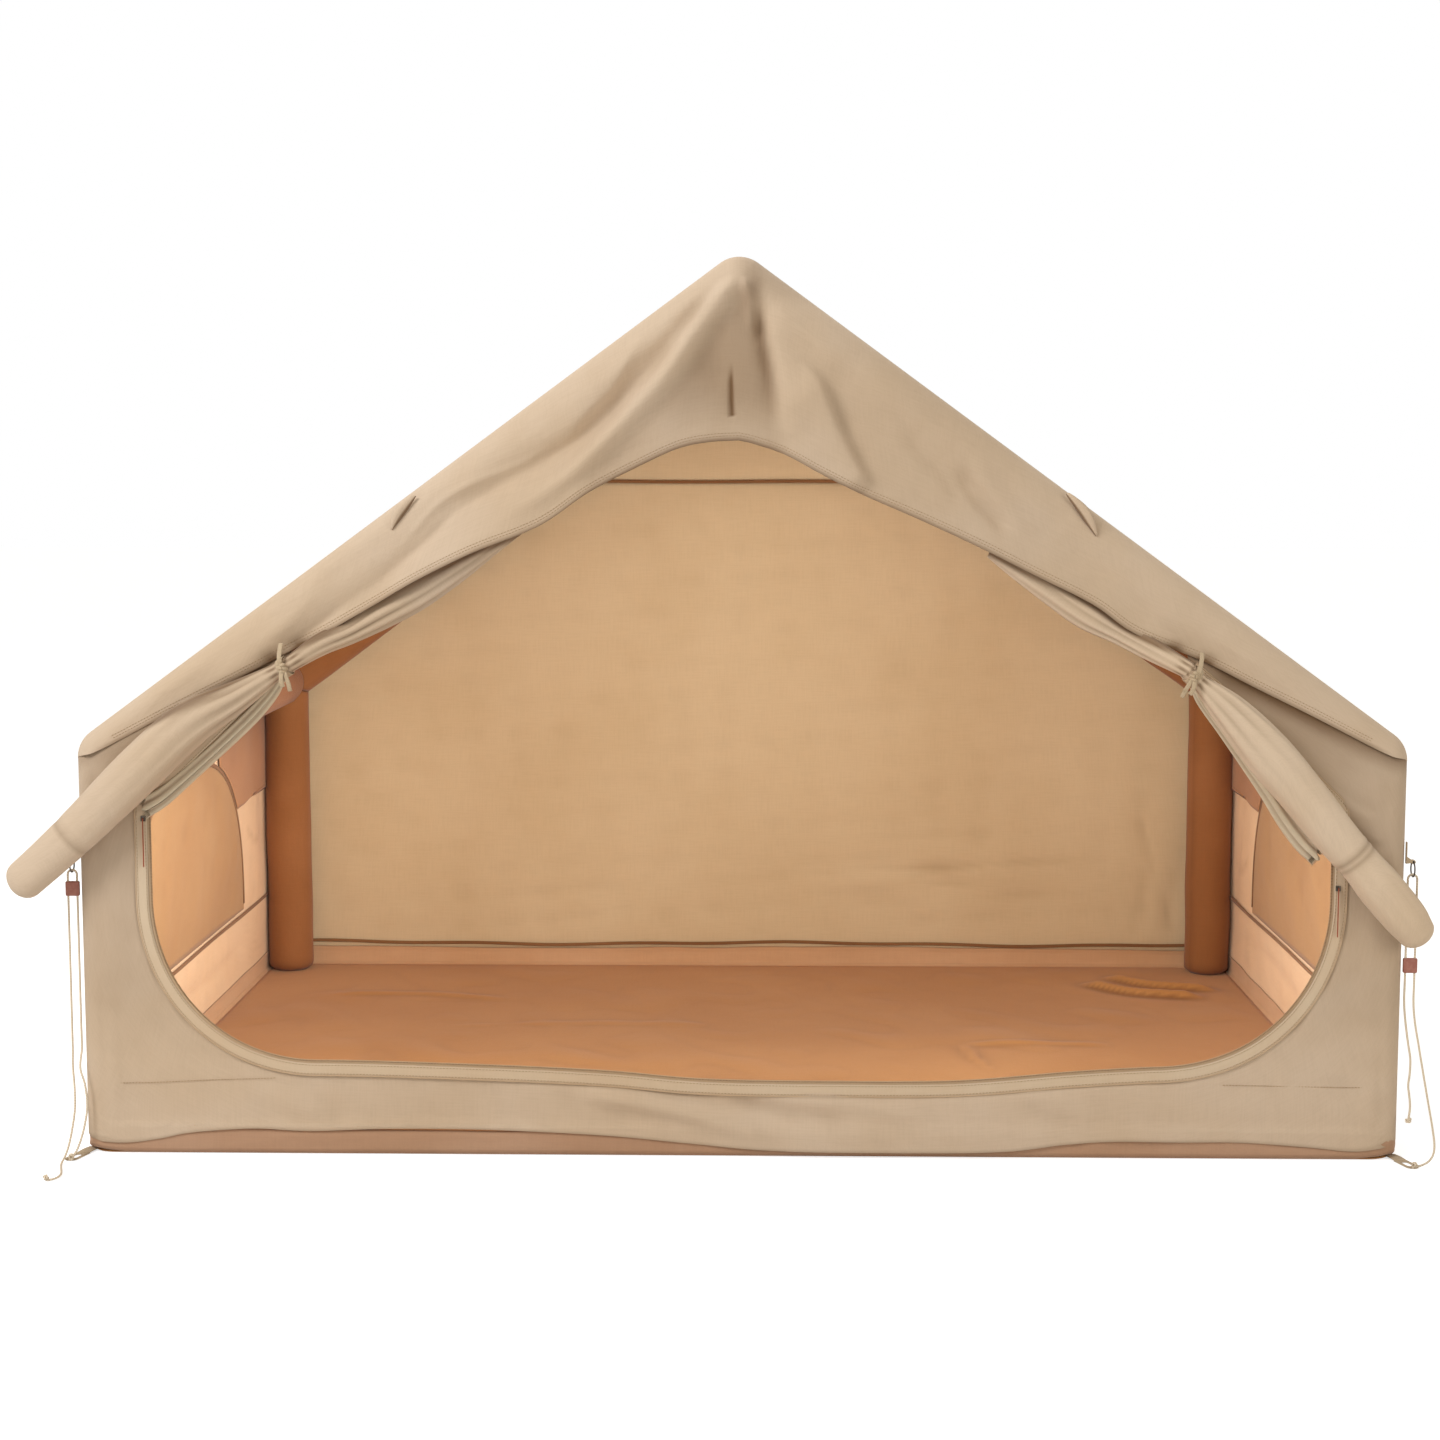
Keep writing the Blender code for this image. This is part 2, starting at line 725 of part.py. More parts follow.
def build_door_rolls():
    left_leaf = leaf_stations(-1, [
        (0.313, 0.63, 0.27), (0.367, 0.606, 0.55), (0.42, 0.589, 0.82), (0.48, 0.565, 1), (0.533, 0.531, 0.98),
        (0.58, 0.505, 0.77),
    ], (0.629, 0.483))
    left_roll = roll_stations(-1, left_tie, [
        (0.142, -0.089, 0.68, 0.22), (0.276, -0.167, 0.94, 0.2), (0.418, -0.292, 1, 0.14),
        (0.596, -0.466, 0.9, 0.06), (0.701, -0.563, 0.84, 0.03), (0.78, -0.632, 0.81, 0),
    ])
    right_leaf = leaf_stations(1, [
        (0.373, 0.618, 0.36), (0.413, 0.592, 0.66), (0.467, 0.568, 0.89), (0.52, 0.556, 0.95),
        (0.567, 0.536, 0.7),
    ], (0.621, 0.534))
    right_roll = roll_stations(1, right_tie, [
        (0.111, -0.105, 0.73, 0.22), (0.217, -0.221, 0.94, 0.18), (0.324, -0.343, 0.91, 0.12),
        (0.422, -0.463, 0.85, 0.08), (0.496, -0.546, 0.77, 0.1), (0.558, -0.62, 0.89, 0.06),
        (0.63, -0.705, 0.85, 0.04), (0.666, -0.751, 0.73, 0),
    ])
    left_path = left_leaf + neck_stations(left_tie, left_tie_heading) + left_roll
    right_path = right_leaf + neck_stations(right_tie, right_tie_heading) + right_roll
    gathered_cloth("left_door_roll", left_path, 3, 6, 18, beige_canvas)
    gathered_cloth("right_door_roll", right_path, 3, 6, 18, beige_canvas)


def build_tie_straps():
    inner = tie_neck_radius + strap_slack
    outer = inner + webbing
    half = strap_width / 2
    band = [(outer, half), (outer, -half), (inner, -half), (inner, half)]
    for name, tie, heading in (
        ("left_tie_strap", left_tie, left_tie_heading),
        ("right_tie_strap", right_tie, right_tie_heading),
    ):
        turn = heading.to_track_quat("Z", "Y").to_euler()
        turned(name, band, tie, turn, beige_webbing, steps=28)


# A net hangs from just below its strap, straight at first, and then down and outwards behind the wall's face
def net_stations(side, tie, heading, shares):
    down = Vector(heading).normalized()
    start = tie + down * (tie_neck_radius + strap_slack + webbing + gap)
    made = []
    for share in (0, 0.78, 1.55):
        place = start + down * share * net_start_radius
        made.append((*place, net_start_radius, net_start_radius, 0.0))
    for out_share, rise_share, set_back, radius_share, depth_share, pleat in shares:
        x = tie.x + side * out_share * net_roll_length
        z = tie.z + rise_share * net_roll_length
        radius = radius_share * net_roll_radius
        made.append((x, front + set_back * net_set_back, z, radius, radius * depth_share, pleat))
    return made


def build_net_rolls():
    left = net_stations(-1, left_tie, (0.51, 0, -0.86), [
        (-0.01, -0.162, -0.36, 0.46, 0.92, 0.1), (0.086, -0.257, 1, 0.61, 0.88, 0.2),
        (0.221, -0.362, 1, 0.71, 0.9, 0.2), (0.376, -0.493, 1, 0.79, 0.82, 0.2),
        (0.543, -0.643, 1, 0.86, 0.79, 0.15), (0.629, -0.719, 1, 0.86, 0.79, 0),
    ])
    right = net_stations(1, right_tie, (-0.69, 0, -0.72), [
        (-0.05, -0.145, -0.09, 0.46, 0.92, 0.1), (0.024, -0.24, 1, 0.61, 0.88, 0.2),
        (0.164, -0.395, 1, 0.75, 0.86, 0.2), (0.307, -0.567, 1, 0.89, 0.76, 0.2),
        (0.462, -0.764, 1, 1, 0.71, 0.15), (0.557, -0.883, 1, 1, 0.71, 0),
    ])
    gathered_cloth("left_net_roll", left, 3, 5, 12, grey_net)
    gathered_cloth("right_net_roll", right, 3, 5, 12, grey_net)


# Zip sliders: a body, and a bail that the pull hangs on. In the slider's own axes the cloth is at
# Y = 0, outwards is +Y and the bail lies along X.
def slider(name, place, turn):
    size_x, size_y, size_z = slider_size
    body = bmesh.new()
    bmesh.ops.create_cube(body, size=1)
    bmesh.ops.scale(body, vec=slider_size, verts=body.verts)
    bmesh.ops.translate(body, vec=(0, gap + size_y / 2, 0), verts=body.verts)
    frame = Matrix.Translation(place) @ Matrix.Rotation(turn, 4, "Z")
    made = from_bmesh(name, body, dark_steel)
    made.matrix_world = frame
    bail = bpy.data.curves.new(f"{name}_bail", "CURVE")
    bail.dimensions = "3D"
    bail.bevel_depth = bail_wire / 2
    bail.bevel_resolution = 1
    bail.use_fill_caps = True
    low = gap + size_y / 2
    high = gap + size_y + bail_reach
    half = bail_width / 2
    spline = bail.splines.new("POLY")
    spline.points.add(3)
    for point, (x, y) in zip(spline.points, ((-half, low), (-half, high), (half, high), (half, low))):
        point.co = (x, y, 0, 1)
    loop = add(f"{name}_bail", bail, dark_steel)
    bpy.context.view_layer.update()
    mesh = bpy.data.meshes.new_from_object(loop.evaluated_get(bpy.context.evaluated_depsgraph_get()))
    bpy.data.objects.remove(loop)
    weld = bmesh.new()
    weld.from_mesh(mesh)
    bmesh.ops.remove_doubles(weld, verts=weld.verts, dist=0.00001)
    solid = from_bmesh(f"{name}_bail", weld, dark_steel, cutters)
    solid.matrix_world = frame
    solid.hide_render = True
    solid.display_type = "WIRE"
    join = made.modifiers.new("bail", "BOOLEAN")
    join.operation = "UNION"
    join.solver = "EXACT"
    join.object = solid
    return frame @ Vector((0, high, 0))


# A pull hangs from the bail by its eye, and turns about the bail's wire
def pull(name, pivot, turn, length, material):
    half = pull_width / 2
    top = arc((0, 0), half, 180, 0, 6)
    tip = arc((0, half - length), half, 0, -180, 6)
    eye = arc((0, 0), pull_hole / 2, 0, 324, 9)
    shape = flat_piece(name, top + tip, pull_thickness, (0, 0, 0), "front", material, [eye])
    shape.location = pivot
    shape.rotation_euler = (math.pi / 2, 0, turn + math.pi / 2)
    return shape


def build_zips():
    slider_x = door_half_width + slider_size[0] / 2 + 0.002
    for side_name, side, height in (
        ("left", -1, door_slider_left_height),
        ("right", 1, door_slider_right_height),
    ):
        pivot = slider(f"{side_name}_door_slider", Vector((side * slider_x, front, height)), math.pi)
        pull(f"{side_name}_door_pull", pivot, math.pi, door_pull_length, red_brown_leather)
        inner_face = side * (half_width - canvas)
        along = -(window_half_width + flap_overlap + slider_size[0] / 2 + 0.002)
        turn = side * math.pi / 2
        pivot = slider(
            f"{side_name}_window_slider", Vector((inner_face, along, window_foot + 0.02)), turn
        )
        pull(f"{side_name}_window_pull", pivot, turn, window_pull_length, dark_steel)


# Guy gear: a webbing tab on the wall, a ring in its eye, a rope over the ring and a tensioner on the rope
def build_guy_gear():
    rope_y = front + rope_set_back
    for side_name, side, tensioner_height in (
        ("left", -1, tensioner_left_height),
        ("right", 1, tensioner_right_height),
    ):
        rope_x = half_width + strand_stand_off + strand_spacing / 2
        # The ring hangs in the eye, so its curved wire lies on the lower side at the tab's two edges
        ring_sag = ring_radius - math.sqrt(ring_radius**2 - (tab_width / 2) ** 2)
        eye_z = ring_height + ring_radius - ring_sag + (eye_hole - ring_wire) / 2 - gap
        outer = eye_hole / 2 + eye_wall
        eye = arc((rope_x, eye_z), outer, -150, 120, 12)
        back = half_width + gap
        outline = eye + [
            (back + webbing, eye_z + 0.012),
            (back + webbing, eye_z + tab_length),
            (back, eye_z + tab_length),
            (back, eye_z - 0.004),
        ]
        hole = arc((rope_x, eye_z), eye_hole / 2, 0, 330, 11)
        if side < 0:
            outline = mirrored(outline)
            hole = mirrored(hole)
        flat_piece(
            f"{side_name}_guy_tab", outline, tab_width, (0, rope_y, 0), "front", beige_webbing, [hole]
        )
        add_ring(f"{side_name}_guy_ring", (side * rope_x, rope_y, ring_height))
        block = box(
            f"{side_name}_guy_tensioner", tensioner_size, (side * rope_x, rope_y, tensioner_height),
            brown_plastic, bevel=0.003,
        )
        for strand_name, offset in (("inner", -0.5), ("outer", 0.5)):
            x = side * (rope_x + offset * strand_spacing)
            drill = cutter_rod(
                f"{side_name}_{strand_name}_rope_hole", rope_hole / 2, 0.1, (x, rope_y, tensioner_height),
                (0, 0, 0),
            )
            cut(block, drill)


def add_ring(name, place):
    bpy.ops.mesh.primitive_torus_add(
        major_segments=24, minor_segments=8, major_radius=ring_radius, minor_radius=ring_wire / 2,
        location=place, rotation=(0, math.pi / 2, 0),
    )
    made = bpy.context.object
    made.name = name
    made.data.name = name
    made.data.materials.append(dark_steel)
    for other in made.users_collection:
        other.objects.unlink(made)
    tent.objects.link(made)
    made.data.shade_smooth()


# Peg loops: flat webbing loops that lie on the ground and point out from the corners
def build_peg_loops():
    half = loop_width / 2
    outline = [(0, half), (0, -half)] + arc((loop_length - half, 0), half, -90, 90, 8)
    near = (loop_length - loop_hole_length) / 2 + loop_hole_width / 2
    far = (loop_length + loop_hole_length) / 2 - loop_hole_width / 2
    lean = math.radians(loop_heading)
    hole = arc((near, 0), loop_hole_width / 2, 90, 270, 6) + arc((far, 0), loop_hole_width / 2, -90, 90, 6)
    for end_name, end in (("front", -1), ("rear", 1)):
        for side_name, side in (("left", -1), ("right", 1)):
            heading = math.atan2(end * math.sin(lean), side * math.cos(lean))
            out = Vector((math.cos(heading), math.sin(heading), 0)) * gap
            place = Vector((side * half_width, end * tent_depth / 2, webbing / 2)) + out
            loop = flat_piece(
                f"{end_name}_{side_name}_peg_loop", outline, webbing, place, "lying", beige_webbing, [hole]
            )
            loop.rotation_euler = (0, 0, heading)


# Route of a guy rope: from the peg loop up over the ring and down to the free end. The foot and the
# tail are chosen by hand, as distances out and forward from the tent's corner and up from the ground.
def rope_route(side, foot_points, tail_points, low, inner_to_foot):
    radius = strand_spacing / 2
    rope_x = strand_stand_off + radius
    over = ring_height - ring_radius + ring_wire / 2 + 2 * gap + rope_diameter / 2 - radius
    foot_side = -1 if inner_to_foot else 1
    steps = 12
    heights = [low + (over - low) * (1 - (1 - i / steps) ** 2) for i in range(steps + 1)]
    up = [(rope_x + foot_side * radius, -rope_set_back, z) for z in heights]
    down = [(rope_x - foot_side * radius, -rope_set_back, z) for z in reversed(heights)]
    bend = []
    for i in range(1, 8):
        angle = math.pi * i / 8
        out = rope_x + foot_side * radius * math.cos(angle)
        bend.append((out, -rope_set_back, over + radius * math.sin(angle)))
    points = foot_points + up + bend + down + tail_points
    return [Vector((side * (half_width + out), front - forward, up)) for out, forward, up in points]


def smooth_curve(points):
    padded = [points[0], *points, points[-1]]
    dense = []
    for k in range(1, len(padded) - 2):
        a, b, c, d = padded[k - 1 : k + 3]
        for i in range(8):
            t = i / 8
            dense.append(
                0.5 * (2 * b + (c - a) * t + (2 * a - 5 * b + 4 * c - d) * t**2 + (3 * b - a - 3 * c + d) * t**3)
            )
    dense.append(points[-1])
    return dense


def bend_aware(dense, most):
    # Points close together where the rope bends, and further apart where it runs straight
    weights = [0.0]
    for k in range(1, len(dense)):
        step = (dense[k] - dense[k - 1]).length
        turn = 0.0
        if 1 < k < len(dense) - 1:
            turn = (dense[k + 1] - dense[k]).angle(dense[k] - dense[k - 1], 0.0)
        weights.append(weights[-1] + step + turn * 0.02)
    made = []
    k = 0
    for i in range(most):
        wanted = weights[-1] * i / (most - 1)
        while k < len(weights) - 2 and weights[k + 1] < wanted:
            k += 1
        share = (wanted - weights[k]) / (weights[k + 1] - weights[k])
        made.append(dense[k].lerp(dense[k + 1], min(share, 1)))
    return made


def rope(name, route):
    points = bend_aware(smooth_curve(route), 76)
    line = bpy.data.curves.new(name, "CURVE")
    line.dimensions = "3D"
    line.bevel_depth = rope_diameter / 2
    line.bevel_resolution = 2
    line.use_fill_caps = True
    spline = line.splines.new("POLY")
    spline.points.add(len(points) - 1)
    for point, place in zip(spline.points, points):
        point.co = (*place, 1)
    add(name, line, beige_rope)


rope_rest = rope_diameter / 2 + gap
left_foot = [
    (0.0125, 0.0605, webbing + rope_rest),
    (0.0105, 0.0500, webbing + rope_rest + 0.003),
    (0.0045, 0.0330, 0.022),
    (-0.0050, 0.0170, 0.060),
    (-0.0120, 0.0095, 0.110),
    (-0.0080, 0.0070, 0.160),
    (0.0025, 0.0035, 0.195),
    (0.0060, -0.0120, 0.218),
]
left_tail = [
    (0.0260, -0.0170, 0.200),
    (0.0190, -0.0020, 0.150),
    (0.0160, 0.0110, 0.105),
    (0.0200, 0.0240, 0.060),
    (0.0240, 0.0420, 0.026),
    (0.0265, 0.0640, 0.0085),
    (0.0260, 0.0900, rope_rest),
    (0.0190, 0.1200, rope_rest),
    (0.0090, 0.1500, rope_rest),
    (0.0020, 0.1780, rope_rest),
    (0.0030, 0.2020, rope_rest),
    (0.0110, 0.2160, rope_rest),
    (0.0220, 0.2200, rope_rest),
]
right_foot = [
    (0.0170, 0.0610, webbing + rope_rest),
    (0.0270, 0.0590, webbing + rope_rest),
    (0.0400, 0.0520, 0.0065),
    (0.0560, 0.0390, 0.011),
    (0.0690, 0.0240, 0.022),
    (0.0740, 0.0130, 0.042),
    (0.0700, 0.0060, 0.080),
    (0.0600, -0.0020, 0.140),
    (0.0500, -0.0090, 0.200),
    (0.0400, -0.0170, 0.262),
    (0.0310, -0.0230, 0.318),
]
right_tail = [
    (0.0100, -0.0235, 0.318),
    (0.0160, -0.0190, 0.270),
    (0.0210, -0.0130, 0.232),
    (0.0195, -0.0090, 0.198),
    (0.0165, -0.0070, 0.172),
    (0.0195, -0.0055, 0.147),
    (0.0215, -0.0050, 0.122),
    (0.0185, -0.0050, 0.092),
]


def build_ropes():
    rope("left_guy_rope", rope_route(-1, left_foot, left_tail, strands_left_low, True))
    rope("right_guy_rope", rope_route(1, right_foot, right_tail, strands_right_low, False))


# Inflation valve, facing the rear. Its own axis is +Z in these profiles, turned to +Y.
facing_rear = (-math.pi / 2, 0, 0)


def build_valve():
    tube_face = front_tube + tube_radius + gap
    place = (-eave_x, tube_face, valve_height)
    top = valve_flange + valve_barrel
    body = [
        (valve_barrel_radius, top),
        (valve_barrel_radius, valve_flange),
        (valve_flange_radius, valve_flange),
        (valve_flange_radius, 0),
        (valve_neck_radius, 0),
        (valve_neck_radius, -valve_neck),
        (valve_seat_radius, -valve_neck),
        (valve_seat_radius, -valve_neck + valve_seat),
        (valve_bore_radius, -valve_neck + valve_seat),
        (valve_bore_radius, top),
    ]
    turned("valve_body", body, place, facing_rear, black_plastic)
    floor = -valve_neck + valve_seat
    spring_foot = floor + gap
    spring_room = 0.009
    head_low = spring_foot + spring_room + gap
    head_top = head_low + plunger_head
    stem_low = -valve_neck - 0.003
    plunger = [
        (0, head_top),
        (plunger_radius, head_top),
        (plunger_radius, head_low),
        (stem_radius, head_low),
        (stem_radius, stem_low),
        (0, stem_low),
    ]
    turned("valve_plunger", plunger, place, facing_rear, bright_steel, steps=16)
    build_spring(place, spring_foot, spring_room)
    build_cap(place, top)


def build_spring(place, foot, room):
    line = bpy.data.curves.new("valve_spring", "CURVE")
    line.dimensions = "3D"
    line.bevel_depth = spring_wire / 2
    line.bevel_resolution = 1
    line.use_fill_caps = True
    spline = line.splines.new("POLY")
    per_turn = 10
    radius = (valve_bore_radius + stem_radius) / 2
    low = foot + spring_wire / 2 + gap
    high = foot + room - spring_wire / 2 - gap
    count = spring_turns * per_turn + 1
    spline.points.add(count - 1)
    for i, point in enumerate(spline.points):
        angle = 2 * math.pi * i / per_turn
        rise = low + (high - low) * i / (count - 1)
        point.co = (radius * math.cos(angle), radius * math.sin(angle), rise, 1)
    made = add("valve_spring", line, bright_steel)
    made.location = place
    made.rotation_euler = facing_rear


# The cap is a cup over the barrel, and pulls straight off
def build_cap(place, top):
    inner = valve_barrel_radius + cap_clearance
    outer = inner + cap_wall
    low = valve_flange + gap
    high = top + gap
    cap = [
        (0, high + cap_wall),
        (outer, high + cap_wall),
        (outer, low),
        (inner, low),
        (inner, high),
        (0, high),
    ]
    turned("valve_cap", cap, place, facing_rear, black_plastic)


def build_relief_valve():
    place = (eave_x, front_tube + tube_radius + gap, relief_height)
    body = [
        (0, valve_flange + 0.006),
        (valve_barrel_radius - 0.003, valve_flange + 0.006),
        (valve_barrel_radius, valve_flange + 0.003),
        (valve_barrel_radius, valve_flange),
        (valve_flange_radius, valve_flange),
        (valve_flange_radius, 0),
        (valve_neck_radius, 0),
        (valve_neck_radius, -valve_neck),
        (0, -valve_neck),
    ]
    turned("relief_valve", body, place, facing_rear, black_plastic)


build_frame()
build_groundsheet()
build_roof()
build_side_walls()
build_front()
build_gable("front_right_gable", 1, right_hem, right_folds)
build_gable("front_left_gable", -1, left_hem, left_folds)
build_rafter_tabs()
build_rear()
build_door_rolls()
build_tie_straps()
build_net_rolls()
build_zips()
build_guy_gear()
build_peg_loops()
build_ropes()
build_valve()
build_relief_valve()
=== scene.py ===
import bpy
import math
import numpy as np
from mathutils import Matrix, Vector


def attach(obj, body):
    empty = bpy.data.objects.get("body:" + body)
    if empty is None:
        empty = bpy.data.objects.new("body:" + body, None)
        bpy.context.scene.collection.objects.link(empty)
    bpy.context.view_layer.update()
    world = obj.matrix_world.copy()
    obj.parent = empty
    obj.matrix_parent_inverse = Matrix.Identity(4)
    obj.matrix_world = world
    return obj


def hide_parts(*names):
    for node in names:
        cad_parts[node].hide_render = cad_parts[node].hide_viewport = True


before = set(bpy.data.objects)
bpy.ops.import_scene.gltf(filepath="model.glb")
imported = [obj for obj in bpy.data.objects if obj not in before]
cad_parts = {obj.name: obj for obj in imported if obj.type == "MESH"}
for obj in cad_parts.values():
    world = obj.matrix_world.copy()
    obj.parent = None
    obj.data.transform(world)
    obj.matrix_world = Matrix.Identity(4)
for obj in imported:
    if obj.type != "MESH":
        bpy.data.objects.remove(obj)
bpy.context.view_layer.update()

tent = {
    "halfWidth": 1.5,
    "front": -1.05,
    "rear": 1.05,
    "ridgeHeight": 2.044,
    "eaveHeight": 0.946,
    "tubeRadius": 0.07,
    "wrapRadius": 0.0719,
    "canvas": 0.0016,
    "edgeRound": 0.042,
    "archDrop": 0.414,
    "wallFoot": 0.0535,
    "skirtTop": 0.0605,
}
pitch = math.atan((tent["ridgeHeight"] - tent["eaveHeight"]) / tent["halfWidth"])
eaveX = tent["halfWidth"] - tent["wrapRadius"]
ridgeAxis = tent["ridgeHeight"] - tent["wrapRadius"] / math.cos(pitch)
eaveAxis = ridgeAxis - eaveX * math.tan(pitch)
frontTube = tent["front"] + tent["canvas"] + 0.0003 + tent["tubeRadius"]
rearTube = -frontTube


# Camera at the photo's place, with its angle of view

camera = {"place": (0.07, -6.372, 1.564), "turn": (83.97, 0, 1.2), "lens": 59.8}


def addCamera():
    data = bpy.data.cameras.new("photoCamera")
    data.lens = camera["lens"]
    data.sensor_width = 36
    eye = bpy.data.objects.new("photoCamera", data)
    eye.location = camera["place"]
    eye.rotation_euler = [math.radians(angle) for angle in camera["turn"]]
    bpy.context.scene.collection.objects.link(eye)
    bpy.context.scene.camera = eye


addCamera()
print("camera set")


# Small tools for materials and meshes

def node(tree, kind, inputs=None, **settings):
    made = tree.nodes.new(kind)
    for key, value in settings.items():
        setattr(made, key, value)
    for key, value in (inputs or {}).items():
        if isinstance(value, bpy.types.NodeSocket):
            tree.links.new(value, made.inputs[key])
        else:
            made.inputs[key].default_value = value
    return made


def linear(colour):
    made = []
    for part in colour:
        share = part / 255
        made.append(share / 12.92 if share <= 0.04045 else ((share + 0.055) / 1.055) ** 2.4)
    return (*made, 1)


def mixColour(tree, factor, first, second):
    return node(tree, "ShaderNodeMix", {0: factor, 6: first, 7: second}, data_type="RGBA").outputs[2]


def ramp(tree, value, low, high, first=0.0, last=1.0):
    limits = {0: value, 1: low, 2: high, 3: first, 4: last}
    return node(tree, "ShaderNodeMapRange", limits, interpolation_type="SMOOTHSTEP").outputs[0]


def maths(tree, kind, *values):
    return node(tree, "ShaderNodeMath", dict(enumerate(values)), operation=kind).outputs[0]


def noise(tree, place, scale, detail=3.0, roughness=0.5):
    inputs = {"Vector": place, "Scale": scale, "Detail": detail, "Roughness": roughness}
    return node(tree, "ShaderNodeTexNoise", inputs).outputs["Fac"]


def ribs(tree, place, spacing, distortion, detailScale, direction):
    inputs = {"Vector": place, "Scale": 0.314 / spacing, "Distortion": distortion, "Detail Scale": detailScale}
    return node(tree, "ShaderNodeTexWave", inputs, bands_direction=direction).outputs["Fac"]


def bump(tree, strength, distance, height, under=None):
    inputs = {"Strength": strength, "Distance": distance, "Height": height}
    if under is not None:
        inputs["Normal"] = under
    return node(tree, "ShaderNodeBump", inputs).outputs[0]


def startMaterial(name, roughness, metallic=0.0, sheen=0.0):
    made = bpy.data.materials.new(name)
    made.use_nodes = True
    tree = made.node_tree
    shader = tree.nodes["Principled BSDF"]
    plain = {"Roughness": roughness, "Metallic": metallic, "Specular IOR Level": 0.25, "Sheen Weight": sheen,
             "Sheen Roughness": 0.5}
    for socket, value in plain.items():
        shader.inputs[socket].default_value = value
    return made, tree, shader


# Woven cotton: threads both ways, slubs, soft colour changes, and painted shade from a per-point attribute,
# darker in creases and hollows
def clothMaterial(name, colour, light, dark, thread=0.0018, threadBump=0.35, wrinkle=0.5, roughness=0.92):
    made, tree, shader = startMaterial(name, roughness, sheen=0.12)
    colour, light, dark = linear(colour), linear(light), linear(dark)
    uv = node(tree, "ShaderNodeTexCoord").outputs["UV"]
    place = node(tree, "ShaderNodeTexCoord").outputs["Object"]
    warp, weft = [ribs(tree, uv, thread, 1.5, 3.0, direction) for direction in "XY"]
    threads = maths(tree, "MULTIPLY", warp, weft)
    scales = ((260, 14, 1), (14, 260, 1))
    ways = [node(tree, "ShaderNodeMapping", {"Vector": uv, "Scale": scale}).outputs[0] for scale in scales]
    slubs = maths(tree, "ADD", *[noise(tree, way, 1.0, 2.0) for way in ways])
    broad = noise(tree, place, 2.1, 3.0, 0.55)
    patch = noise(tree, place, 5.5, 4.0, 0.6)
    tone = mixColour(tree, ramp(tree, broad, 0.36, 0.66), colour, light)
    tone = mixColour(tree, ramp(tree, patch, 0.5, 0.78, 0.0, 0.3), tone, light)
    tone = mixColour(tree, ramp(tree, slubs, 0.8, 1.3, 0.0, 0.06), tone, dark)
    # Painted shade: the colour is mixed towards the dark colour by the attribute
    paintedShade = node(tree, "ShaderNodeAttribute", attribute_name="paintedShade").outputs["Fac"]
    tree.links.new(mixColour(tree, paintedShade, tone, dark), shader.inputs["Base Color"])
    wrinkles = bump(tree, wrinkle, 0.0025, noise(tree, place, 38.0, 4.0, 0.6))
    weave = bump(tree, threadBump, 0.0004, threads, wrinkles)
    tree.links.new(bump(tree, 0.12, 0.0004, slubs, weave), shader.inputs["Normal"])
    return made


def plasticMaterial(name, colour, worn, roughness, metallic=0.0, grain=900.0):
    made, tree, shader = startMaterial(name, roughness, metallic)
    place = node(tree, "ShaderNodeTexCoord").outputs["Object"]
    broad = noise(tree, place, 120.0)
    fine = noise(tree, place, grain)
    tone = mixColour(tree, ramp(tree, broad, 0.4, 0.7, 0.0, 0.7), linear(colour), linear(worn))
    tree.links.new(tone, shader.inputs["Base Color"])
    rough = ramp(tree, fine, 0.3, 0.7, max(roughness - 0.1, 0.05), min(roughness + 0.12, 1))
    tree.links.new(rough, shader.inputs["Roughness"])
    tree.links.new(bump(tree, 0.25, 0.0002, fine), shader.inputs["Normal"])
    return made


# Webbing: a ribbed weave across a narrow band
def webbingMaterial(name, colour, dark, rib=0.0016):
    made, tree, shader = startMaterial(name, 0.85, sheen=0.1)
    colour, dark = linear(colour), linear(dark)
    place = node(tree, "ShaderNodeTexCoord").outputs["Object"]
    weave = ribs(tree, place, rib, 1.0, 4.0, "DIAGONAL")
    soil = noise(tree, place, 60.0, 4.0)
    # Painted shade: darker in the troughs between the ribs
    tone = mixColour(tree, ramp(tree, weave, 0.0, 0.6, 0.5, 0.0), colour, dark)
    tone = mixColour(tree, ramp(tree, soil, 0.5, 0.75, 0.0, 0.4), tone, dark)
    tree.links.new(tone, shader.inputs["Base Color"])
    tree.links.new(bump(tree, 0.6, 0.0004, weave), shader.inputs["Normal"])
    return made


# Braid: crossing strands along the rope's own UV, one metre of rope to a unit of V
def ropeMaterial(name, colour, dark, strandPitch=0.006):
    made, tree, shader = startMaterial(name, 0.8, sheen=0.1)
    uv = node(tree, "ShaderNodeTexCoord").outputs["UV"]
    apart = node(tree, "ShaderNodeSeparateXYZ", {0: uv})
    along = maths(tree, "MULTIPLY", apart.outputs[1], 2 * math.pi / strandPitch)
    around = maths(tree, "MULTIPLY", apart.outputs[0], 4 * math.pi)
    strands = [maths(tree, "SINE", maths(tree, kind, along, around)) for kind in ("ADD", "SUBTRACT")]
    height = maths(tree, "MAXIMUM", *strands)
    # Painted shade: darker between the strands
    tone = mixColour(tree, ramp(tree, height, -0.2, 0.6, 0.75, 0.0), linear(colour), linear(dark))
    tree.links.new(tone, shader.inputs["Base Color"])
    tree.links.new(bump(tree, 0.7, 0.0006, height), shader.inputs["Normal"])
    return made


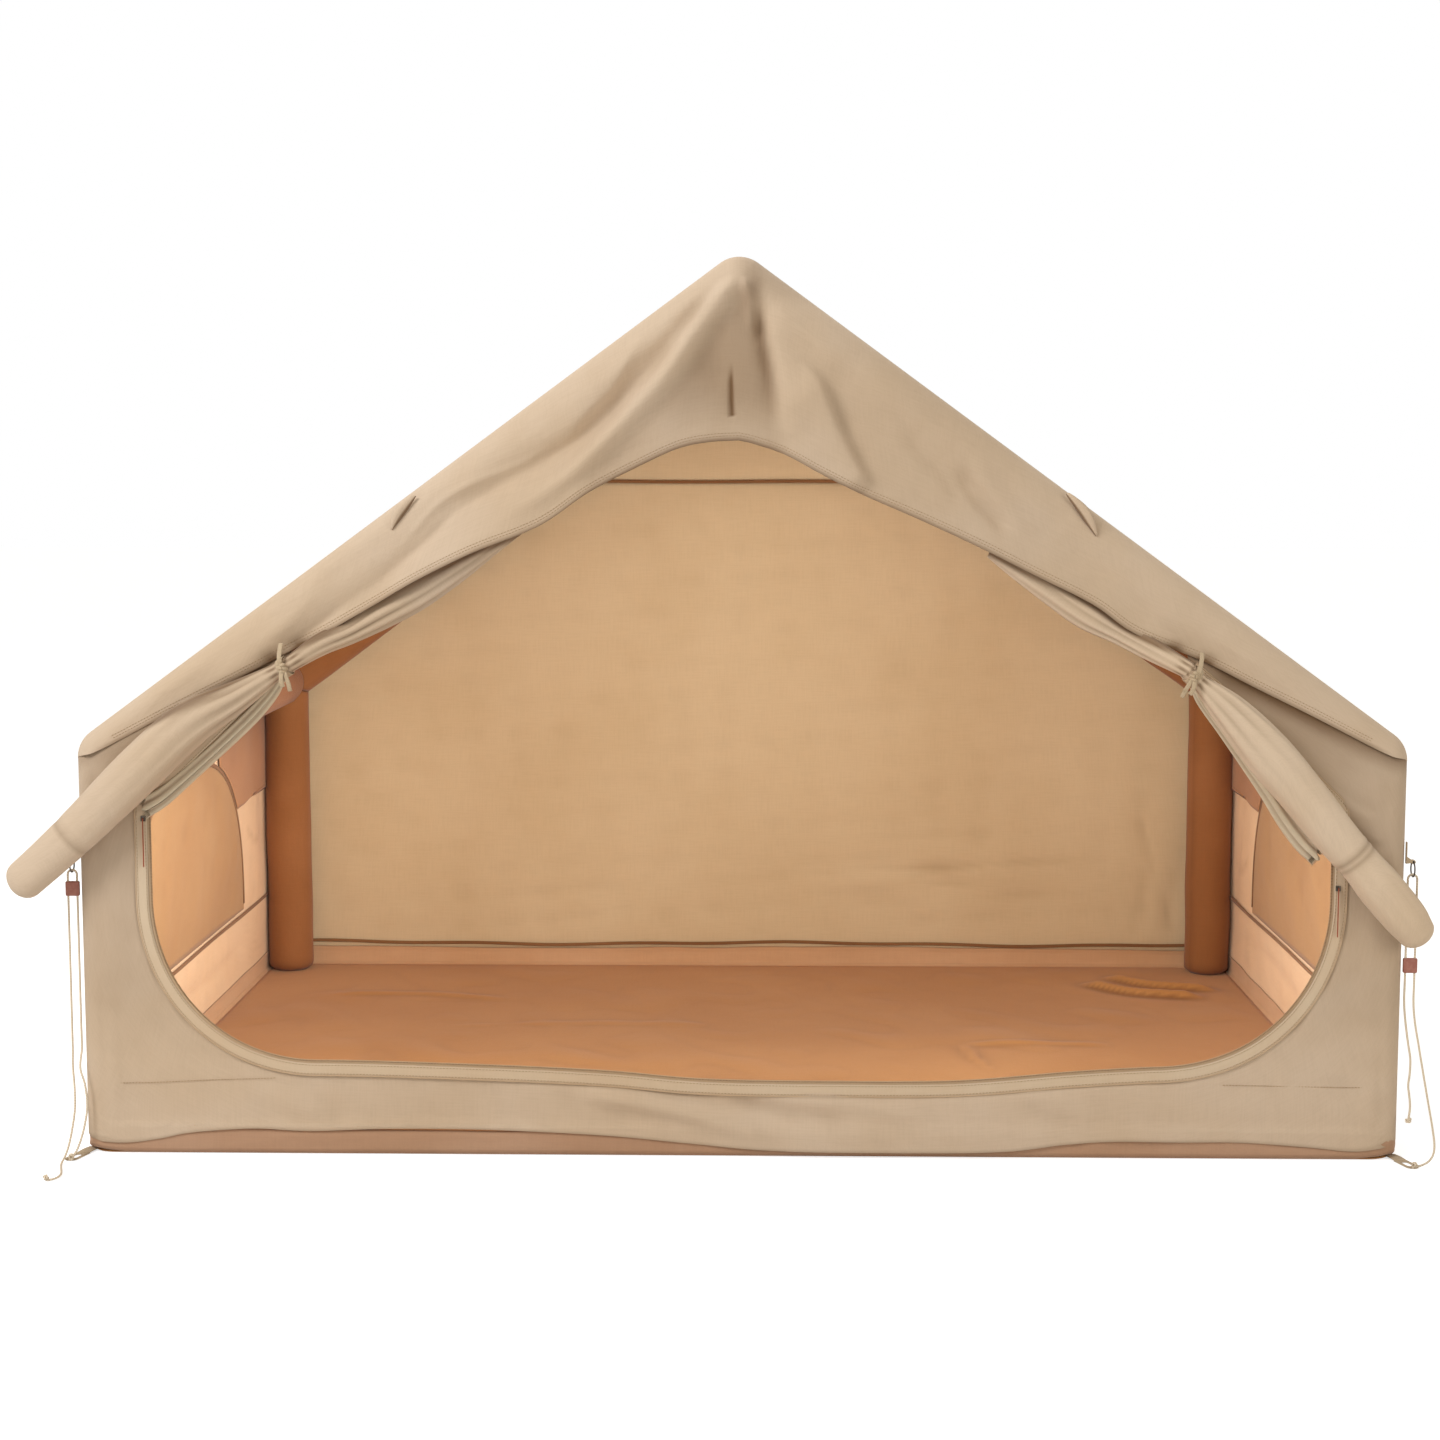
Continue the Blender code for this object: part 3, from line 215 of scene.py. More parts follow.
finishes = {
    "outer": clothMaterial("outerCanvas", (202, 177, 147), (208, 185, 158), (116, 88, 60)),
    # A lighter copy of the outer canvas for the right door leaf: its colour is painted light
    "leaf": clothMaterial("leafCanvasPaintedLight", (213, 188, 157), (219, 196, 168), (122, 93, 64)),
    # Inside faces: the glow of light through the canvas is painted into their warm colours, with differently
    # lit copies for the side walls and the rear wall
    "inner": clothMaterial("innerCanvasPaintedGlow", (208, 166, 124), (214, 174, 134), (118, 76, 42), wrinkle=0.35),
    "rearInnerPaintedGlow": clothMaterial("rearInnerCanvas", (205, 181, 142), (210, 187, 149), (116, 80, 46), wrinkle=0.2),
    "sideInnerPaintedGlow": clothMaterial("sideInnerCanvas", (226, 188, 146), (230, 194, 154), (140, 88, 48),
                               wrinkle=0.25),
    "window": clothMaterial("windowCloth", (170, 127, 82), (176, 135, 90), (112, 66, 36), wrinkle=0.3),
    # The corner patch's darker colour is painted shade
    "patch": clothMaterial("cornerPatchPaintedShade", (168, 118, 80), (176, 128, 90), (106, 66, 40), wrinkle=0.25),
    "sleeve": clothMaterial("tubeSleeve", (142, 90, 48), (154, 100, 58), (84, 44, 22), roughness=0.85),
    "floor": clothMaterial("floorCloth", (184, 130, 70), (190, 137, 78), (110, 66, 36), thread=0.0026,
                           wrinkle=0.3, roughness=0.8),
    "skirtInner": clothMaterial("skirtInnerCloth", (200, 156, 114), (206, 164, 124), (128, 84, 52),
                                thread=0.0026, roughness=0.8),
    "skirt": clothMaterial("skirtCloth", (178, 138, 106), (186, 148, 118), (120, 82, 56), thread=0.0026,
                           roughness=0.8),
    "net": clothMaterial("netCloth", (212, 194, 162), (220, 203, 173), (140, 104, 78), thread=0.0034,
                         threadBump=0.8),
    "mesh": clothMaterial("windowMesh", (170, 148, 124), (180, 160, 138), (112, 90, 68), thread=0.0034,
                          threadBump=0.8),
    "seam": clothMaterial("seamTape", (126, 86, 52), (138, 98, 62), (80, 48, 28), thread=0.0012, wrinkle=0.2),
    "band": clothMaterial("openingBand", (206, 180, 147), (212, 190, 160), (150, 120, 84), thread=0.0014,
                          wrinkle=0.2),
    "edging": clothMaterial("bandEdging", (194, 165, 130), (200, 173, 140), (134, 102, 68), thread=0.0012,
                            wrinkle=0.2),
    "webbing": webbingMaterial("beigeWebbing", (200, 178, 145), (140, 116, 86)),
    "rope": ropeMaterial("beigeRope", (236, 220, 194), (186, 164, 132)),
    "thread": webbingMaterial("seamThread", (170, 138, 98), (120, 90, 60), rib=0.0008),
    "leather": plasticMaterial("redBrownLeather", (150, 72, 46), (170, 94, 64), 0.6, grain=1600.0),
    "plastic": plasticMaterial("brownPlastic", (156, 100, 86), (172, 120, 104), 0.5),
    "darkSteel": plasticMaterial("darkSteel", (74, 66, 58), (110, 100, 90), 0.35, 1.0),
    "brightSteel": plasticMaterial("brightSteel", (190, 188, 184), (168, 164, 158), 0.3, 1.0),
    "black": plasticMaterial("blackPlastic", (38, 36, 34), (58, 55, 52), 0.45),
    "zip": plasticMaterial("zipTeeth", (150, 116, 78), (120, 88, 56), 0.5),
}
print("materials made")


def addObject(name, data):
    made = bpy.data.objects.new(name, data)
    bpy.context.scene.collection.objects.link(made)
    return made


def unit(vectors):
    return vectors / np.linalg.norm(vectors, axis=-1, keepdims=True)


def headings(line):
    return unit(np.gradient(line, axis=0))


# Length from a line's start to each of its points
def lengthsAlong(line):
    return np.concatenate([[0], np.cumsum(np.linalg.norm(np.diff(line, axis=0), axis=1))])


def meshObject(name, verts, faces, uvs, materials, paintedShade=None):
    data = bpy.data.meshes.new(name)
    data.from_pydata([tuple(v) for v in verts], [], faces)
    layer = data.uv_layers.new(name="metres")
    layer.data.foreach_set("uv", np.asarray(uvs, dtype=np.float32).ravel())
    if paintedShade is not None:
        shade = data.attributes.new("paintedShade", "FLOAT", "POINT")
        shade.data.foreach_set("value", np.asarray(paintedShade, dtype=np.float32).ravel())
    for material in materials:
        data.materials.append(material)
    data.polygons.foreach_set("use_smooth", [True] * len(data.polygons))
    data.update()
    return addObject(name, data)


# A grid of places, rows by columns, as one sheet. Its UV map is in metres along the rows and the columns.
# Its faces look along facing, or away from the middle of each row where facing is None.
def clothGrid(name, places, materials, paintedShade=None, wrap=False, facing=None, thickness=tent["canvas"]):
    places = np.asarray(places, dtype=float)
    rows, cols = places.shape[:2]
    closed = np.concatenate([places, places[:, :1]], axis=1) if wrap else places
    normals = np.cross(closed[:-1, 1:] - closed[:-1, :-1], closed[1:, :-1] - closed[:-1, :-1])
    if facing is None:
        facing = closed[:-1, :-1] - places[:-1].mean(axis=1, keepdims=True)
    flip = float((normals * facing).sum()) < 0
    across = np.array([lengthsAlong(row) for row in closed])
    down = np.array([lengthsAlong(column) for column in closed.transpose(1, 0, 2)]).T
    across = across - across.mean(axis=1, keepdims=True)
    faces, uvs = [], []
    for i in range(rows - 1):
        for j in range(closed.shape[1] - 1):
            k = (j + 1) % cols
            corners = [(i, j, j), (i, k, j + 1), (i + 1, k, j + 1), (i + 1, j, j)]
            if flip:
                corners.reverse()
            faces.append([row * cols + column for row, column, _ in corners])
            uvs.extend((across[row, spread], down[row, spread]) for row, _, spread in corners)
    made = meshObject(name, places.reshape(-1, 3), faces, uvs, materials, paintedShade)
    wall = made.modifiers.new("cloth", "SOLIDIFY")
    wall.thickness = thickness
    wall.offset = -1
    wall.material_offset = 1 if len(materials) > 1 else 0
    wall.material_offset_rim = 0
    return made


# A bell curve of height 1, and a spot with a width each way
def bell(value, middle, width):
    return np.exp(-(((value - middle) / width) ** 2))


def spot(x, z, middle, size):
    return bell(x, middle[0], size[0]) * bell(z, middle[1], size[1])


def smoothStep(low, high, value):
    share = np.clip((value - low) / (high - low), 0, 1)
    return share * share * (3 - 2 * share)


# A smooth line through the points, with the same number of places on each stretch
def splined(points, steps=8):
    points = np.asarray(points, dtype=float)
    padded = np.concatenate([[2 * points[0] - points[1]], points, [2 * points[-1] - points[-2]]])
    made = []
    for k in range(1, len(padded) - 2):
        a, b, c, d = padded[k - 1 : k + 3]
        for i in range(steps):
            t = i / steps
            made.append(0.5 * (2 * b + (c - a) * t + (2 * a - 5 * b + 4 * c - d) * t**2
                               + (3 * b - a - 3 * c + d) * t**3))
    made.append(points[-1])
    return np.array(made)


def fromSegment(x, z, start, way, length):
    t = np.clip((x - start[0]) * way[0] + (z - start[1]) * way[1], 0, length)
    return x - start[0] - way[0] * t, z - start[1] - way[1] * t, t


# Distance of every point from a line in the same plane, positive on the line's left, and the share along it
def fromLine(x, z, line):
    line = splined(line, 6)
    nearest = np.full(x.shape, 9.0)
    signed = np.full(x.shape, 9.0)
    along = np.zeros(x.shape)
    before = lengthsAlong(line)
    for start, end, covered, length in zip(line, line[1:], before, np.diff(before)):
        way = (end - start) / length
        dx, dz, t = fromSegment(x, z, start, way, length)
        distance = np.hypot(dx, dz)
        side = np.where(way[0] * dz - way[1] * dx >= 0, 1.0, -1.0)
        closer = distance < nearest
        nearest = np.where(closer, distance, nearest)
        signed = np.where(closer, distance * side, signed)
        along = np.where(closer, (covered + t) / before[-1], along)
    return signed, along


# A ridge or valley along a line: height, width on its left and on its right, and how its ends fade
def foldAlong(x, z, line, height, left, right, fade=(0.3, 0.3)):
    signed, along = fromLine(x, z, line)
    width = np.where(signed > 0, left, right)
    ends = smoothStep(0, fade[0], along + 0.02) * smoothStep(0, fade[1], 1.02 - along)
    return height * bell(signed, 0, width) * ends


def folded(x, z, folds):
    return sum(foldAlong(x, z, *fold) for fold in folds)


# Soft random waves of about the given length
def waves(x, z, seed, scale, count=9):
    chance = np.random.default_rng(seed)
    total = np.zeros(x.shape)
    for _ in range(count):
        angle = chance.uniform(0, math.pi)
        size = scale * chance.uniform(0.6, 1.7)
        phase = chance.uniform(0, 2 * math.pi)
        total += np.sin((x * math.cos(angle) + z * math.sin(angle)) * 2 * math.pi / size + phase)
    return total / math.sqrt(count)


def roofHeight(x):
    return tent["ridgeHeight"] - np.abs(x) * math.tan(pitch)


# Tent outline from the left eave over the ridge to the right eave: places and outward normals
def roofOutline(slopeSteps, roundSteps):
    lean = math.pi / 2 - pitch

    def onRound(x, z, angle):
        out, up = math.cos(angle), math.sin(angle)
        return np.array([x + tent["wrapRadius"] * out, z + tent["wrapRadius"] * up, out, up])

    half = [onRound(0, ridgeAxis, angle) for angle in np.linspace(math.pi / 2, lean, roundSteps)]
    first, last = half[-1], onRound(eaveX, eaveAxis, lean)
    half.extend(first + (last - first) * share for share in np.linspace(0, 1, slopeSteps + 1)[1:])
    half.extend(onRound(eaveX, eaveAxis, angle) for angle in np.linspace(lean, 0, roundSteps)[1:])
    left = np.array(half[::-1]) * (-1, 1, -1, 1)
    return np.concatenate([left[:-1], half])


def onGable(xShare, dropShare):
    x = xShare * tent["halfWidth"]
    return x, float(roofHeight(x)) - dropShare * tent["archDrop"]


# Hem of the gable: shares of the half width, and of the drop to the arch
hemShares = {
    "right": [(0, 1), (0.023, 0.96), (0.07, 0.9), (0.121, 0.87), (0.183, 0.82), (0.267, 0.73), (0.354, 0.645),
              (0.443, 0.57), (0.525, 0.5), (0.587, 0.49), (0.687, 0.372), (0.771, 0.302), (0.854, 0.23),
              (0.957, 0.147)],
    "left": [(0, 1), (0.04, 0.9), (0.087, 0.81), (0.145, 0.756), (0.223, 0.703), (0.295, 0.69), (0.395, 0.57),
             (0.48, 0.495), (0.563, 0.447), (0.609, 0.418), (0.68, 0.365), (0.771, 0.295), (0.854, 0.227),
             (0.957, 0.147)],
}
hems = {side: splined([onGable(*s) for s in shares] + [(1.488, eaveAxis + 0.006)], 5)
        for side, shares in hemShares.items()}


def hemHeight(x):
    right = np.interp(np.abs(x), hems["right"][:, 0], hems["right"][:, 1])
    left = np.interp(np.abs(x), hems["left"][:, 0], hems["left"][:, 1])
    return np.where(x >= 0, right, left) - 0.008 * bell(x, -0.06, 0.2)


# How far cloth has to stand off so that it clears a tube, at a distance from the tube's axis
def tubeLeast(away, reach=0.0721):
    return np.where(away < reach, np.sqrt(np.maximum(reach**2 - away**2, 0)) - tent["wrapRadius"], -9)


def archAway(x, z):
    path = np.array([(-eaveX, 0), (-eaveX, eaveAxis), (0, ridgeAxis), (eaveX, eaveAxis), (eaveX, 0)])
    away = np.full(x.shape, 9.0)
    for start, end in zip(path, path[1:]):
        dx, dz, _ = fromSegment(x, z, start, unit(end - start), math.dist(start, end))
        away = np.minimum(away, np.hypot(dx, dz))
    return away


# A height kept over the least one, with a soft bend between them
def over(height, least, soft=0.003):
    gap = (height - least) / soft
    return least + soft * np.where(gap > 30, gap, np.log1p(np.exp(np.minimum(gap, 30))))


def body(piece, name="tent"):
    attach(piece, name)
    return piece


# Guy ropes: routes as distances out and forward from the tent's corner and up from the ground

ropes = {
    "diameter": 0.005,
    "spacing": 0.021,
    "standOff": 0.0065,
    "setBack": 0.025,
    "ringHeight": 0.665,
    "ringRadius": 0.017,
    "ringWire": 0.0036,
    "leftFoot": [(0.0125, 0.0605, 0.0048), (0.0105, 0.0500, 0.0078), (0.0045, 0.0330, 0.022),
                 (-0.0050, 0.0170, 0.060), (-0.0120, 0.0095, 0.110), (-0.0080, 0.0070, 0.160),
                 (0.0025, 0.0035, 0.195), (0.0060, -0.0120, 0.218)],
    "leftTail": [(0.0260, -0.0170, 0.200), (0.0190, -0.0020, 0.150), (0.0160, 0.0110, 0.105),
                 (0.0200, 0.0240, 0.060), (0.0240, 0.0420, 0.026), (0.0265, 0.0640, 0.0085),
                 (0.0260, 0.0900, 0.0028), (0.0190, 0.1200, 0.0028), (0.0090, 0.1500, 0.0028),
                 (0.0020, 0.1780, 0.0028), (0.0030, 0.2020, 0.0028), (0.0110, 0.2160, 0.0028),
                 (0.0220, 0.2200, 0.0028)],
    "rightFoot": [(0.0170, 0.0610, 0.0048), (0.0270, 0.0590, 0.0048), (0.0400, 0.0520, 0.0065),
                  (0.0560, 0.0390, 0.011), (0.0690, 0.0240, 0.022), (0.0740, 0.0130, 0.042),
                  (0.0700, 0.0060, 0.080), (0.0600, -0.0020, 0.140), (0.0500, -0.0090, 0.200),
                  (0.0400, -0.0170, 0.262), (0.0310, -0.0230, 0.318)],
    "rightTail": [(0.0100, -0.0235, 0.318), (0.0160, -0.0190, 0.270), (0.0210, -0.0130, 0.232),
                  (0.0195, -0.0090, 0.198), (0.0165, -0.0070, 0.172), (0.0195, -0.0055, 0.147),
                  (0.0215, -0.0050, 0.122), (0.0185, -0.0050, 0.092)],
}


def ropeRoute(side, foot, tail, low, innerToFoot):
    radius, back = ropes["spacing"] / 2, -ropes["setBack"]
    middle = ropes["standOff"] + radius
    wires = ropes["ringWire"] + ropes["diameter"]
    top = ropes["ringHeight"] - ropes["ringRadius"] + wires / 2 + 0.0006 - radius
    toFoot = -radius if innerToFoot else radius
    heights = [low + (top - low) * (1 - (1 - i / 12) ** 2) for i in range(13)]
    up = [(middle + toFoot, back, z) for z in heights]
    down = [(middle - toFoot, back, z) for z in reversed(heights)]
    turns = [math.pi * i / 8 for i in range(1, 8)]
    bend = [(middle + toFoot * math.cos(turn), back, top + radius * math.sin(turn)) for turn in turns]
    points = foot + up + bend + down + tail
    return np.array([(side * (tent["halfWidth"] + out), tent["front"] - forward, high)
                     for out, forward, high in points])


# A tube round a line of places, its UV going round in U and along in metres in V
def tubeAlong(name, line, radius, material, sides=12):
    line = np.asarray(line, dtype=float)
    turn = np.linspace(0, 2 * math.pi, sides, endpoint=False)
    ahead = headings(line)
    up = np.cross(ahead[0], (0.3, 0.9, 0.2))
    rings = []
    for place, way in zip(line, ahead):
        up = unit(up - way * np.dot(up, way))
        rings.append(place + radius * (np.outer(np.cos(turn), up) + np.outer(np.sin(turn), np.cross(way, up))))
    lengths = lengthsAlong(line)
    faces, uvs = [], []
    for i in range(len(line) - 1):
        for j in range(sides):
            k = (j + 1) % sides
            faces.append([i * sides + j, i * sides + k, (i + 1) * sides + k, (i + 1) * sides + j])
            uvs.extend((column / sides, lengths[row])
                       for column, row in ((j, i), (j + 1, i), (j + 1, i + 1), (j, i + 1)))
    faces.append(list(range(sides))[::-1])
    faces.append([(len(line) - 1) * sides + j for j in range(sides)])
    uvs.extend([(0.5, 0)] * (2 * sides))
    return meshObject(name, np.array(rings).reshape(-1, 3), faces, uvs, [material])


def addRope(name, side, foot, tail, low, innerToFoot):
    route = splined(ropeRoute(side, foot, tail, low, innerToFoot), 8)
    route = route[np.concatenate([[True], np.linalg.norm(np.diff(route, axis=0), axis=1) > 1e-6])]
    rope = tubeAlong(name, route, ropes["diameter"] / 2, finishes["rope"])
    body(rope)
    knots = []
    for end, place, way in (("Foot", route[0], route[1] - route[0]),
                            ("Tail", route[-1], route[-1] - route[-2])):
        knot = tubeAlong(f"{name}{end}Knot", knotLine(place, unit(way)), 0.0024, finishes["rope"], sides=8)
        knots.append(body(knot))
    return rope, route, knots


# An overhand knot: two small turns round the rope's end
def knotLine(place, way):
    up = unit(np.cross(way, (0, 0, 1.0)))
    other = np.cross(way, up)
    made = []
    for t in np.linspace(0, 1, 40):
        angle = t * 4 * math.pi
        radius = 0.0046 + 0.0008 * math.sin(angle * 1.5)
        made.append(place + way * (t - 0.5) * 0.009 + radius * (up * math.cos(angle) + other * math.sin(angle)))
    made = np.array(made)
    made[:, 2] += max(0.0028 - made[:, 2].min(), 0)
    return made


def addRopes():
    for name, side, low, innerToFoot in (("left", -1, 0.24, True), ("right", 1, 0.36, False)):
        rope, route, knots = addRope(f"{name}GuyRope", side, ropes[f"{name}Foot"], ropes[f"{name}Tail"], low,
                                     innerToFoot)
        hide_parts(f"{name}_guy_rope")


addRopes()


# Painted shade: darker where the cloth dips below its surroundings
def cavity(height, reach=4, scale=0.004):
    soft = height.copy()
    for _ in range(reach):
        for axis in (0, 1):
            near = np.concatenate([soft.take([0], axis), soft.take(range(soft.shape[axis] - 1), axis)], axis)
            far = np.concatenate([soft.take(range(1, soft.shape[axis]), axis), soft.take([-1], axis)], axis)
            soft = (near + soft * 2 + far) / 4
    return np.clip((soft - height) / scale, 0, 1)


# Canopy: one sheet from the front hem over the rounded edge, along the roof and down to the rear edge

canopy = {"gableRows": 84, "roofRows": 60, "sag": 0.016}
gableFolds = [
    # Line, height, width on its left and right, and how both ends fade if not by 0.3
    ([(-0.006, 1.985), (-0.040, 1.945), (-0.080, 1.893), (-0.155, 1.782), (-0.223, 1.705), (-0.296, 1.627),
      (-0.382, 1.543), (-0.49, 1.468)], 0.024, 0.030, 0.018, (0.1, 0.3)),
    ([(-0.045, 1.965), (-0.121, 1.877), (-0.183, 1.799), (-0.251, 1.727), (-0.33, 1.649), (-0.438, 1.575),
      (-0.539, 1.525), (-0.635, 1.474), (-0.689, 1.42), (-0.768, 1.341), (-0.83, 1.27)], -0.017, 0.022, 0.026,
      (0.1, 0.2)),
    ([(-0.14, 1.935), (-0.222, 1.850), (-0.276, 1.75), (-0.336, 1.690), (-0.384, 1.63), (-0.46, 1.597)], 0.010,
     0.016, 0.05),
    ([(-0.40, 1.62), (-0.47, 1.575), (-0.58, 1.53), (-0.66, 1.485), (-0.72, 1.42), (-0.79, 1.345)], 0.008, 0.04,
     0.012),
    ([(-0.33, 1.56), (-0.47, 1.487), (-0.6, 1.41), (-0.71, 1.345), (-0.83, 1.235)], 0.012, 0.04, 0.045),
    ([(-0.03, 1.93), (-0.055, 1.85), (-0.065, 1.77), (-0.07, 1.69)], -0.012, 0.060, 0.060, (0.3, 0.4)),
    ([(0.012, 1.985), (0.024, 1.925), (0.030, 1.85)], 0.012, 0.014, 0.010, (0.2, 0.3)),
    ([(0.036, 1.925), (0.047, 1.87), (0.058, 1.81), (0.068, 1.75), (0.074, 1.68), (0.078, 1.635)], -0.017,
     0.018, 0.018, (0.25, 0.65)),
    ([(0.055, 1.93), (0.082, 1.82), (0.108, 1.73), (0.125, 1.63)], 0.012, 0.050, 0.018),
    ([(0.12, 1.80), (0.172, 1.748), (0.203, 1.676), (0.230, 1.614), (0.285, 1.515)], 0.020, 0.014, 0.055,
     (0.3, 0.15)),
    ([(0.17, 1.81), (0.205, 1.745), (0.238, 1.672), (0.270, 1.60), (0.30, 1.54)], -0.004, 0.045, 0.03,
     (0.25, 0.3)),
    ([(0.36, 1.615), (0.52, 1.49), (0.68, 1.375), (0.80, 1.30), (0.95, 1.19)], 0.010, 0.05, 0.06, (0.25, 0.25)),
    ([(0.33, 1.70), (0.40, 1.60), (0.455, 1.545), (0.50, 1.47)], -0.008, 0.03, 0.02, (0.4, 0.3)),
    ([(0.47, 1.58), (0.52, 1.50), (0.60, 1.41)], -0.010, 0.024, 0.014),
    ([(0.50, 1.60), (0.565, 1.50), (0.65, 1.41)], 0.008, 0.03, 0.02),
    ([(0.70, 1.42), (0.82, 1.33), (0.93, 1.23)], -0.006, 0.03, 0.03),
    ([(-0.90, 1.33), (-1.02, 1.21), (-1.12, 1.13), (-1.22, 1.06)], 0.008, 0.03, 0.03),
    ([(-0.88, 1.27), (-1.0, 1.175), (-1.1, 1.10)], -0.007, 0.02, 0.02),
    ([(1.02, 1.21), (1.18, 1.11), (1.32, 1.02)], 0.007, 0.03, 0.02, (0.3, 0.4)),
]
centreSeam = [(-0.016, 1.80), (-0.016, 1.74), (-0.014, 1.676)]
# The hollow under the ridge, painted darker as shade: heights and its two edges
hollowLeft = ([1.543, 1.627, 1.705, 1.782, 1.893, 1.945, 1.985],
              [-0.382, -0.296, -0.223, -0.155, -0.080, -0.040, -0.006])
hollowRight = ([1.60, 1.68, 1.75, 1.81, 1.87, 1.925], [0.085, 0.074, 0.068, 0.058, 0.047, 0.036])


# The hem, carried on down at both corners
def hemLow(x):
    return np.where(np.abs(x) > 1.4875, 0.9157 - (np.abs(x) - 1.4875) * 0.3, hemHeight(x))


# A column of the gable from the hem up and over the rounded edge: x, y, z and the way in from the outline
def gableColumn(x, z, outX, outZ):
    edge, front, rows = tent["edgeRound"], tent["front"], canopy["gableRows"]

    def onEdge(turn):
        inward = edge * (1 - math.cos(turn))
        return x - outX * inward, front + edge - edge * math.sin(turn), z - outZ * inward, inward

    steps = np.linspace(0, 0.9, 1801)
    under = np.nonzero(z - outZ * steps <= hemLow(x - outX * steps))[0]
    reach = max(float(steps[under[0]]) if len(under) else 0.0, 0.003)
    if reach <= edge:
        turn = math.acos(1 - reach / edge)
        return [onEdge(turn * share) for share in np.linspace(1, 0, rows)]
    topX, topZ = x - outX * edge, z - outZ * edge
    blend = float(smoothStep(0.2, 1.0, abs(x)))
    hemX = blend * (x - outX * reach) + (1 - blend) * topX
    hemZ = float(hemLow(hemX))
    length, arc = math.hypot(topX - hemX, topZ - hemZ), edge * math.pi / 2
    column = []
    for covered in np.linspace(0, length + arc, rows):
        if covered < length:
            share = covered / length
            column.append((hemX + (topX - hemX) * share, front, hemZ + (topZ - hemZ) * share,
                           edge + length - covered))
        else:
            column.append(onEdge(math.pi / 2 * (1 - (covered - length) / arc)))
    return column


def gableHeight(x, z, inward, seam):
    middle = np.abs(x)
    aboveHem = z - hemHeight(x)
    depth = (roofHeight(x) - z) * math.cos(pitch)
    height = folded(x, z, gableFolds) - 0.004 * seam
    height -= 0.010 * bell(depth, 0.13, 0.045) * smoothStep(0.35, 0.6, middle) * smoothStep(1.35, 1.1, middle)
    height += 0.0016 * waves(x, z, 3, 0.30) + 0.0008 * waves(x, z, 4, 0.09)
    height += 0.014 * smoothStep(0.9, 0.5, middle) + 0.008 * smoothStep(0.28, 0.12, middle)
    hemRise = 0.006 * smoothStep(0.05, 0.0, aboveHem) * smoothStep(1.5, 1.47, middle)
    height += hemRise * smoothStep(-1.34, -1.12, x)
    return np.clip(height * smoothStep(0.0, tent["edgeRound"] * 1.6, inward), -0.03, 0.052)


# Painted shade on the gable: darker in its dips, along the centre seam, in the hollow under the ridge, at the
# apex, in a broad patch right of the middle, along the hem and round the ties
def gableShade(x, z, height, seam):
    aboveHem = z - hemHeight(x)
    hollow = smoothStep(0.012, 0.075, x - np.interp(z, *hollowLeft))
    hollow *= smoothStep(0.03, -0.015, x - np.interp(z, *hollowRight))
    hollow *= (0.45 + 0.55 * smoothStep(1.64, 1.74, z)) * smoothStep(2.03, 1.97, z)
    shade = 0.4 * cavity(height, 8, 0.010) + 0.6 * seam + 0.50 * hollow
    shade += 0.1 * bell(x, 0.42, 0.3) * smoothStep(0.1, 0.3, x) + 0.08 * spot(x, z, (0.16, 1.62), (0.09, 0.12))
    shade += 0.22 * smoothStep(1.90, 1.97, z) * smoothStep(-0.03, 0.02, x)
    shade += 0.55 * smoothStep(0.012, 0.002, aboveHem) * (aboveHem < 0.012) * smoothStep(1.47, 1.40, np.abs(x))
    for place in (-1.045, -0.985, 1.04, 0.97):
        shade += 0.7 * spot(x, z, (place, hemHeight(place) + 0.006), (0.022, 0.016))
    return shade


# The roof behind the gable's edge, which sags between the tubes, and its rounded rear edge, with painted shade
# in the roof's fold valleys
def roofRows(outline):
    edge, front, back = tent["edgeRound"], tent["front"], tent["rear"]
    x, z, outX, outZ = outline.T
    middle = np.abs(x)
    beam = smoothStep(0.05, 0.35, middle) * smoothStep(1.42, 1.15, middle)
    bend = tent["wrapRadius"] * math.sin(pitch)
    beside = np.minimum(np.maximum(middle - bend, 0), np.maximum(eaveX + bend - middle, 0)) / math.cos(pitch)
    rows, shades = [], []
    for place in np.linspace(front + edge, back - edge, canopy["roofRows"])[1:]:
        y = np.full(x.shape, place)
        between = np.sin(math.pi * np.clip((place - front - edge) / (back - front - 2 * edge), 0, 1)) ** 0.7
        folds = 0.0022 * waves(x, y, 11, 0.7) + 0.001 * waves(x, y, 12, 0.22)
        ends = smoothStep(0, 0.08, place - front - edge) * smoothStep(0, 0.08, back - edge - place)
        least = np.maximum(tubeLeast(beside), tubeLeast(np.full(x.shape, rearTube - abs(place))))
        lift = over(np.minimum(folds * ends - canopy["sag"] * between * beam, 0.004), least, 0.001)
        rows.append(np.stack([x + outX * lift, y, z + outZ * lift], axis=1))
        shades.append(np.clip(-folds / 0.025, 0, 0.12))
    for turn in np.linspace(0, math.pi / 2, 10)[1:]:
        inward = edge * (1 - math.cos(turn))
        y = np.full(x.shape, back - edge + edge * math.sin(turn))
        rows.append(np.stack([x - outX * inward, y, z - outZ * inward], axis=1))
        shades.append(np.zeros(len(x)))
    return rows, shades


